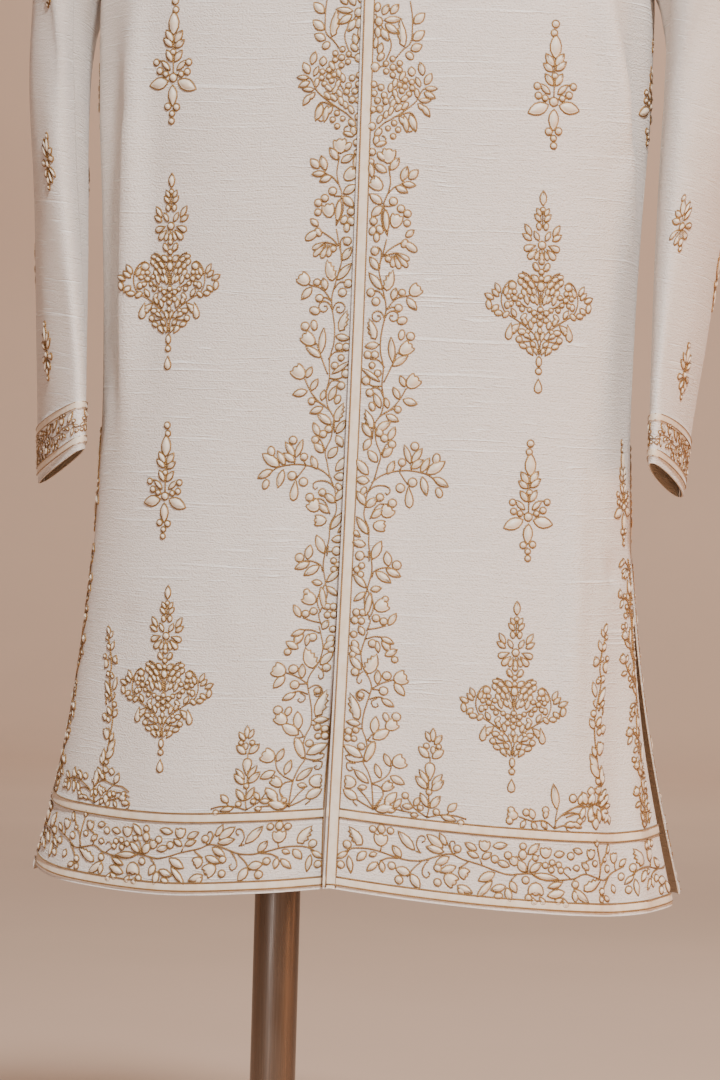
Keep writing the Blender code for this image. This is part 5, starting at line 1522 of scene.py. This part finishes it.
motifs["smallButta"] = {
    "leaf": shapes("""0.5 36 90 16 8.4, 0.3 30.5 55 10.4 5.8, -0.3 29.5 124 10.4 5.8, 0.3 26.5 40 10 5.6,
    -0.5 25.7 144 9 5.5, 0.7 13.5 60 10 5.4, -0.3 13.5 127 10 5.4, 2.6 6.5 45 10 4.8, -2.6 6.5 138 10 4.8,
    -3.7 -1.5 204 15 8.6, 3.7 -2 -10 14.6 8.6, 0.5 -4.4 -92 14.4 7.4"""),
    "oval": shapes("""0 66 5.8, -1 58.4 5.4, 0.5 22.6 5, -14.6 13.4 5.4, -13.4 5.4 5.4, -7.6 3.6 5, 7.4 4 5,
    13.4 7 5.6, 17 14.4 5.4, 0 0.8 6.6, -3.8 -24.4 5.6, 4.8 -23.6 5.6, 0.5 -29.8 5, 0.8 -36 5.2"""),
    "stem": stems("""0 36, 0.2 24, 0 4 / -9 12.5, -12 14, -14 13.6 / -3 3.5, -7 3, -12 5 / 8.6 13, 12.5 15.5, 16 15 /
    3 3.5, 8 3, 13 6"""),
}
motifs["bigButta"] = {
    "petal": shapes("0 -49 -90 11.5 7, 0 61.5 -90 9 4.5")
    + bothSides(shapes("""16.5 -2.5 -40 9 6, 25 -1.5 -80 13.5 6.5, 6.5 -16.5 35 8 5, 4.7 -31 55 8.5 5.5,
    1.6 -30.5 70 6.5 4, 3.5 62.5 -48 11 6, 1.8 61.8 -69 9 4.5, 4.5 65 -20 10.5 6""")),
    "leaf": shapes("0 98 90 12 6.5")
    + bothSides(shapes("""10.6 12.6 72 10 5, 32 20 110 8.5 5, 35 22 62 9.5 5, 36 19 45 8.5 5, 40 17 28 9 5.5,
    36 13 -45 8 5.5, 20.7 1.7 60 8.5 5, 11.5 -5 63 8 5, 2.2 12.5 72 10 4.6, 6.8 -8.4 75 8.5 5, 1 -18.5 74 8.5 4.5,
    2.5 -23 40 7 5, 2.5 68 62 9 5, 8.5 68.5 33 9.5 5.5, 9 72 58 11 5.5, 1 84.5 48 8.5 5, 1.2 89.5 58 7.5 4.5,
    1 42.5 40 8 5.5, 1.5 33 40 8.5 6""")),
    "oval": shapes("""0 -43.5 6, 0 -35.3 90 8.5 5.5, 0 29.5 90 8 6.5, 0 42 5.5, 0 50.8 5.5, 0 65 7, 0 95.4 5,
    0 3.5 5.5, 0 -8.5 90 5.5 4.4, 0 36.4 5""")
    + aroundRow(0, 3.5, 6.2, 5.5, 6, 30)
    + bothSides(shapes("""8.6 31 50 8 5, 12.6 35.6 35 7 5, 17 38 10 6.5 4.5, 10.4 25.5 60 7 4.5, 14.4 29.8 50 7 5,
    18 33 60 6.5 5, 14.6 23.6 60 7 5, 7 18.5 60 7 5, 29 12.6 100 6.5 5.5, 25 29.5 7, 45 12.5 80 8 5.5, 30 4.5 -45 7 5,
    36.5 5.5 0 7 5.5, 16 9.5 5, 14.5 3 -50 7 4.5, 15.7 -10 0 7 5.5, 18 -16.5 6, 14.3 -22 20 7 5, 23 -9.5 5,
    3.2 81 80 6.5 5, 22.8 18.5 5.5, 9.6 9.2 4.8, 6 25 70 6 4, 5 47 60 6.5 4.8, 10.6 -9.6 4.4, 27 24 100 5 4.4"""))
    + bothSides(aroundRow(22.8, 18.5, 5.6, 5, 5, 15)),
    "stem": stems("0 -30, 0 -39 / 0 10, 0 26 / 0 54, 0 62 / 0 80, 0 98")
    + bothStems(stems("""0.3 -29, 1 -20, 4 -13, 10.5 -7, 20.5 0, 30.5 6.5, 34.2 15, 33.5 24, 30 31, 25.5 34, 21.5 31 /
    0.4 10, 0.6 17, 2.5 25, 6.5 33, 11.5 39.5, 17 41.5 / 3 5, 10 10, 20 16 / 3 -15, 10 -18, 15 -18""")),
}
motifs["miniButta"] = {
    "petal": bothSides(shapes("1.8 -1 -12 10.5 5.6, 1.2 -3 -58 10 5.4")),
    "leaf": shapes("0 8 90 14 6.5") + bothSides(shapes("1.4 4 36 11.5 5.6, 1.2 9 48 10.5 5.2")),
    "oval": shapes("0 0 6.5, 0 -14 90 7 6, 0 25 5.5, 0 -20 5"),
    "stem": stems("0 2, 0 23 / 0 -4, 0 -18"),
}


# where a panel ends at each height: the side seam, then the armhole, then the shoulder
def panelLimits(measured, side, trimName):
    heights = tableHeights
    low, high = coat["armpit"], coat["shoulder"]
    turn = np.arccos(np.clip((2 * heights - high - low) / (high - low), -1, 1))
    hole = roundFrom(measured, armhole(turn, side)[:, 0], heights)
    full = measured[1][:, -1] - sideTrim(heights, trimName)
    return np.where((heights > low) & (heights < high), hole, full)


margins = {  # how near to each edge of a panel a shape may come
    "side": 2.5 * mm,
    "neck": 3 * mm,
    "hem": 0.5 * mm,
    "front": 0.6 * mm,
}


def panelEdges(measured, side, trimName, start=None):  # what lies inside a panel, and where it ends across
    limits = panelLimits(measured, side, trimName)
    ends = lambda v: np.interp(v, tableHeights, limits)
    neck = neckline(np.linspace(math.pi if side > 0 else 0.0, quarter, 60))
    neckAcross = roundFrom(measured, neck[:, 0] + 1e-6, neck[:, 1])

    def inside(u, v, reach):
        away = np.abs(u) if start is None else u
        good = away + reach < ends(v) - margins["side"]
        good &= v + reach < np.interp(away, neckAcross, neck[:, 1], right=2.0) - margins["neck"]
        good &= v - reach > margins["hem"]
        return good if start is None else good & (u - reach > start(v) + margins["front"])

    return inside, ends


# how the embroidery is laid out; heights and distances in metres from the hem and from the middle
layout = {
    "bandLine": 10.6 * mm,
    "edgeLine": 2.6 * mm,
    "hemLines": (3.6 * mm, 10.3 * mm, 61.8 * mm, 69.3 * mm),
    "cuffLines": (8.0 * mm, 15.0 * mm, 47.2 * mm, 53.8 * mm),
    "onBand": 0.75 * mm,
    "lineEnd": 1.5 * mm,       # short of the side seam
    "scrollHeight": 11.3 * mm,
    "frontScrolls": (0.0, 0.257),
    "backScrolls": (0.004, 0.262),
    "backBig": (0.165, 0.51, 0.862),
    "backSmall": (0.338, 0.69),
    "middleSmall": (0.195, 0.52),
    "sideColumn": 0.268,
    "backColumn": 0.15,
    "backSprays": (0.075, 0.215),
    "sprayHeight": 0.0715,
    "sideGarland": [("garlandFoot", 0.0715), ("garlandRosebuds", 0.18)],
    "sideGarlandScale": 0.72,
    "sideGarlandInset": 0.012,
    "sideGarlandFrom": 0.245,
    "frontFuller": {"smallButta": 1.4, "bigButta": 1.22},
    "backFuller": {"smallButta": 1.4, "bigButta": 1.2},
    "elseFuller": 1.08,
}
cuffScroll = {"height": 0.0158, "scale": 0.67, "fuller": 1.05}
collarScroll = {"height": 0.0075, "scale": 0.62, "apart": 0.16, "lines": (3 * mm, 41 * mm), "lineEnd": 2 * mm}
buttas = {  # chart, distance from the middle, height, scale
    "frontLeft": [
        ("bigButta", 0.1475, 0.158, 0.94), ("bigButta", 0.1595, 0.5, 0.98), ("bigButta", 0.166, 0.858, 0.98),
        ("smallButta", 0.1545, 0.3335, 0.95), ("smallButta", 0.1665, 0.6835, 1.0),
        ("smallButta", 0.262, 0.345, 0.85), ("smallButta", 0.292, 0.692, 0.85),
        ("spray", 0.079, 0.0715, 1.03), ("tallSpray", 0.228, 0.0715, 0.97), ("sideSprig", 0.186, 0.0715, 1.0)],
    "frontRight": [
        ("bigButta", 0.1535, 0.1625, 0.94), ("bigButta", 0.1615, 0.512, 0.965), ("bigButta", 0.1625, 0.868, 0.97),
        ("smallButta", 0.16, 0.343, 0.93), ("smallButta", 0.162, 0.7, 1.0),
        ("smallButta", 0.27, 0.345, 0.85), ("smallButta", 0.294, 0.69, 0.85),
        ("spray", 0.0745, 0.0715, 0.98), ("tallSpray", 0.212, 0.0715, 0.88), ("sideSprig", 0.222, 0.0715, 0.85)],
}
sleeveButtas = {  # distance from the front line outwards, height above the cuff
    1: [(0.012, 0.2135), (0.042, 0.095), (0.02, 0.44), (0.115, 0.175), (0.12, 0.33), (-0.1, 0.15), (-0.1, 0.3)],
    -1: [(0.0215, 0.251), (0.049, 0.104), (0.03, 0.4), (0.125, 0.18), (0.13, 0.34), (-0.13, 0.15), (-0.13, 0.3)],
}
garlandPieces = {  # chart, height of its foot, scale
    "frontLeft": [("garlandFoot", 0.072, 1.06), ("garlandBranch", 0.2325, 1.0), ("garlandRosebuds", 0.396, 1.0),
                  ("garlandCluster", 0.564, 1.0), ("garlandRosebuds", 0.768, 0.92)],
    "frontRight": [("garlandFoot", 0.072, 1.09), ("garlandBranch", 0.2375, 0.985), ("garlandRosebuds", 0.401, 1.02),
                   ("garlandCluster", 0.572, 1.0), ("garlandRosebuds", 0.776, 0.9)],
}


def bandLines(sewing, start, end, heights, count=60, raised=layout["onBand"]):  # gold lines across, along the bands
    for height in heights:
        u = np.linspace(start(height), end(height), count)
        sewing.line(stack([u, np.full(count, height)], -1), raised)


def sideGarlands(sewing, ends, hand):  # a smaller garland climbs beside each slit
    slide = lambda v: hand * (ends(v) - layout["sideGarlandInset"])
    clip = (layout["sideGarlandFrom"], 1) if hand > 0 else (-1, -layout["sideGarlandFrom"])
    for name, height in layout["sideGarland"]:
        sewing.place(name, 0.0, height, layout["sideGarlandScale"], hand > 0, clip, slide)


def frontSewing(panel, start):
    inside, ends = panelEdges(frontRound, -1, "slitFront", start)
    sewing = Sewing(frontLattice(panel), inside)
    beside = lambda v: start(v) + layout["bandLine"] + 0.4 * mm
    for name, height, scale in garlandPieces[panel]:
        sewing.place(name, 0.0, height, scale=scale, slide=beside)
    neckTop = neckline(np.array([math.asin(0.012 / coat["neckHalfWidth"])]))[0, 1]   # above the band's own middle
    v = np.linspace(1.2 * mm, neckTop - 2 * mm, 120)
    sewing.line(stack([start(v) + layout["edgeLine"], v], -1), layout["onBand"])
    sewing.line(stack([start(v) + layout["bandLine"], v], -1), 0.1 * mm)
    endAt = lambda v: ends(v) - layout["lineEnd"]
    onBandLine = lambda v: start(v) + layout["bandLine"]
    bandLines(sewing, onBandLine, endAt, layout["hemLines"][1:])
    bandLines(sewing, lambda v: start(v) + layout["edgeLine"], endAt, layout["hemLines"][:1])
    for across in layout["frontScrolls"]:
        sewing.place("hemScroll", across, layout["scrollHeight"], slide=onBandLine)
    for name, across, height, scale in buttas[panel]:
        fuller = layout["frontFuller"].get(name, layout["elseFuller"])
        sewing.place(name, across, height, scale=scale, fuller=fuller)
    sideGarlands(sewing, ends, 1)
    return sewing


def backSewing():
    inside, ends = panelEdges(backRound, 1, "slitBack")
    sewing = Sewing(backLattice(), inside)
    endAt = lambda v: ends(v) - layout["lineEnd"]
    bandLines(sewing, lambda v: -endAt(v), endAt, layout["hemLines"])

    def butta(name, across, height, scale=1.0):
        sewing.place(name, across, height, scale=scale, fuller=layout["backFuller"][name])

    for hand in (1, -1):
        for across in layout["backScrolls"]:
            sewing.place("hemScroll", hand * across, layout["scrollHeight"], mirror=hand < 0)
        for height in layout["backBig"]:
            butta("bigButta", hand * layout["backColumn"], height)
        for height in layout["backSmall"]:
            butta("smallButta", hand * layout["backColumn"], height)
            butta("smallButta", hand * layout["sideColumn"], height, 0.9)
        near, far = layout["backSprays"]
        sewing.place("spray", hand * near, layout["sprayHeight"])
        sewing.place("tallSpray", hand * far, layout["sprayHeight"], mirror=hand < 0)
        sideGarlands(sewing, ends, hand)
    for height in layout["backSmall"]:
        butta("bigButta", 0.0, height)
    for height in layout["middleSmall"]:
        butta("smallButta", 0.0, height)
    return sewing


def sleeveSewing(side):
    cloth = sleeveLattice(side)
    half = lambda v: np.interp(v, np.arange(len(cloth["girth"])) * latticeStep, cloth["girth"]) / 2
    sewing = Sewing(cloth, lambda u, v, reach: (v > 0.001) & (v < 0.515), 0.7)
    bandLines(sewing, lambda v: -half(v), half, layout["cuffLines"], 90)
    clip = (-half(0.03), half(0.03))
    for mirror in (False, True):
        sewing.place("hemScroll", 0.0, cuffScroll["height"], cuffScroll["scale"], mirror, clip,
                     fuller=cuffScroll["fuller"])
    for across, height in sleeveButtas[side]:
        sewing.place("miniButta", across, height, scale=0.9, fuller=1.3)
    return sewing


def collarSewing():
    cloth = collarLattice()
    length = cloth["length"]

    def inside(u, v, reach):
        return (u > reach + 0.001) & (u < length - reach - 0.001) & (v > 0.002) & (v < 0.042)

    sewing = Sewing(cloth, inside)
    end = collarScroll["lineEnd"]
    bandLines(sewing, lambda v: end, lambda v: length - end, collarScroll["lines"], 90, 0.0)
    for mirror in (False, True):
        apart = -collarScroll["apart"] if mirror else collarScroll["apart"]
        for middle in (length / 2, length / 2 + apart):
            sewing.place("hemScroll", middle, collarScroll["height"], collarScroll["scale"], mirror)
    return sewing


embroidery = {
    "frontLeft": frontSewing("frontLeft", startLeft).make("embroideryFrontLeft"),
    "frontRight": frontSewing("frontRight", startRight).make("embroideryFrontRight"),
    "back": backSewing().make("embroideryBack"),
    "sleeveLeft": sleeveSewing(1).make("embroiderySleeveLeft"),
    "sleeveRight": sleeveSewing(-1).make("embroiderySleeveRight"),
    "collar": collarSewing().make("embroideryCollar"),
}
print("embroidery sewn")


# the room: a pale warm floor that curves up behind, and soft lights all round
room = {
    "color": (0.7, 0.505, 0.38),
    "bend": 8.6,       # how far out the floor starts to rise
    "bendRadius": 2.0,
    "top": 7.0,
    "ambient": (1.0, 0.86, 0.76),
    "ambientStrength": 0.09,
}
lamps = {  # name: place, aim, size, watts, colour
    "keyWindow": ((1.35, -3.9, 4.8), (0, 0, 0.7), 0.7, 565, (0.985, 0.99, 1.0)),
    "coolWindow": ((-1.1, -3.3, 0.7), (0, 0, 0.7), 0.9, 17, (0.78, 0.88, 1.0)),
    "warmFill": ((3.0, -1.1, 1.1), (0, 0, 0.95), 1.2, 34, (1.0, 0.53, 0.27)),
    "wallWash": ((0, 6.2, 5.6), (0, 10.4, 0.6), 2.0, 190, (1.0, 0.95, 0.9)),
    "leftBounce": ((-3.0, 0.8, 1.0), (0, 0, 0.9), 1.6, 5, (1.0, 0.45, 0.22)),
    "rightBounce": ((3.0, 0.6, 1.0), (0, 0, 0.9), 1.6, 12, (1.0, 0.5, 0.26)),
    "backWindow": ((0.6, 3.2, 2.6), (0, 0, 0.9), 2.4, 30, (1.0, 0.95, 0.9)),
}


def roomSweep():  # a round floor and a quarter round up to a wall, turned about the middle
    turn = np.linspace(0, quarter, 24)
    bend, r = room["bend"], room["bendRadius"]
    out = join([np.linspace(0.002, bend, 12)[:-1], bend + r * np.sin(turn), [bend + r]])
    z = join([np.zeros(11), r - r * np.cos(turn), [room["top"]]])
    around = np.linspace(0, fullTurn, 97)[:-1]
    x, y = out[:, None] * np.cos(around), out[:, None] * np.sin(around)
    points = stack(np.broadcast_arrays(x, y, z[:, None]), -1)
    faces = gridFaces(len(z), len(around), wraps=True)[:, ::-1]
    shader = Shader("paleFloor", 0.85, Specular_IOR_Level=0.15)
    place = shader.node("TexCoord").outputs["Object"]
    mottle = shader.noise(place, (1.2, 1.2, 1.2), 4.0)
    shader.paint(shader.mix(shader.band(mottle, 0.3, 0.7), room["color"], darker(room["color"], 0.965)))
    shader.bump(shader.noise(place, (260, 260, 260), 2.0), 0.2 * mm)
    points = points.reshape(-1, 3)
    sweep = makeMesh("floorSweep", points, [(faces, points[faces][..., :2], 0)], [shader.material])


def lightRoom():
    world = bpy.data.worlds.new("softRoom")
    world.use_nodes = True
    world.node_tree.nodes["Background"].inputs[0].default_value = (*room["ambient"], 1)
    world.node_tree.nodes["Background"].inputs[1].default_value = room["ambientStrength"]
    bpy.context.scene.world = world
    for name, (place, aim, size, power, color) in lamps.items():
        data = bpy.data.lights.new(name, "AREA")
        data.shape, data.size, data.energy, data.color = "DISK", size, power, color
        obj = bpy.data.objects.new(name, data)
        bpy.context.scene.collection.objects.link(obj)
        heading = (Vector(aim) - Vector(place)).to_track_quat("-Z", "Y")
        obj.matrix_world = Matrix.Translation(place) @ heading.to_matrix().to_4x4()


roomSweep()
lightRoom()
print("room lit")
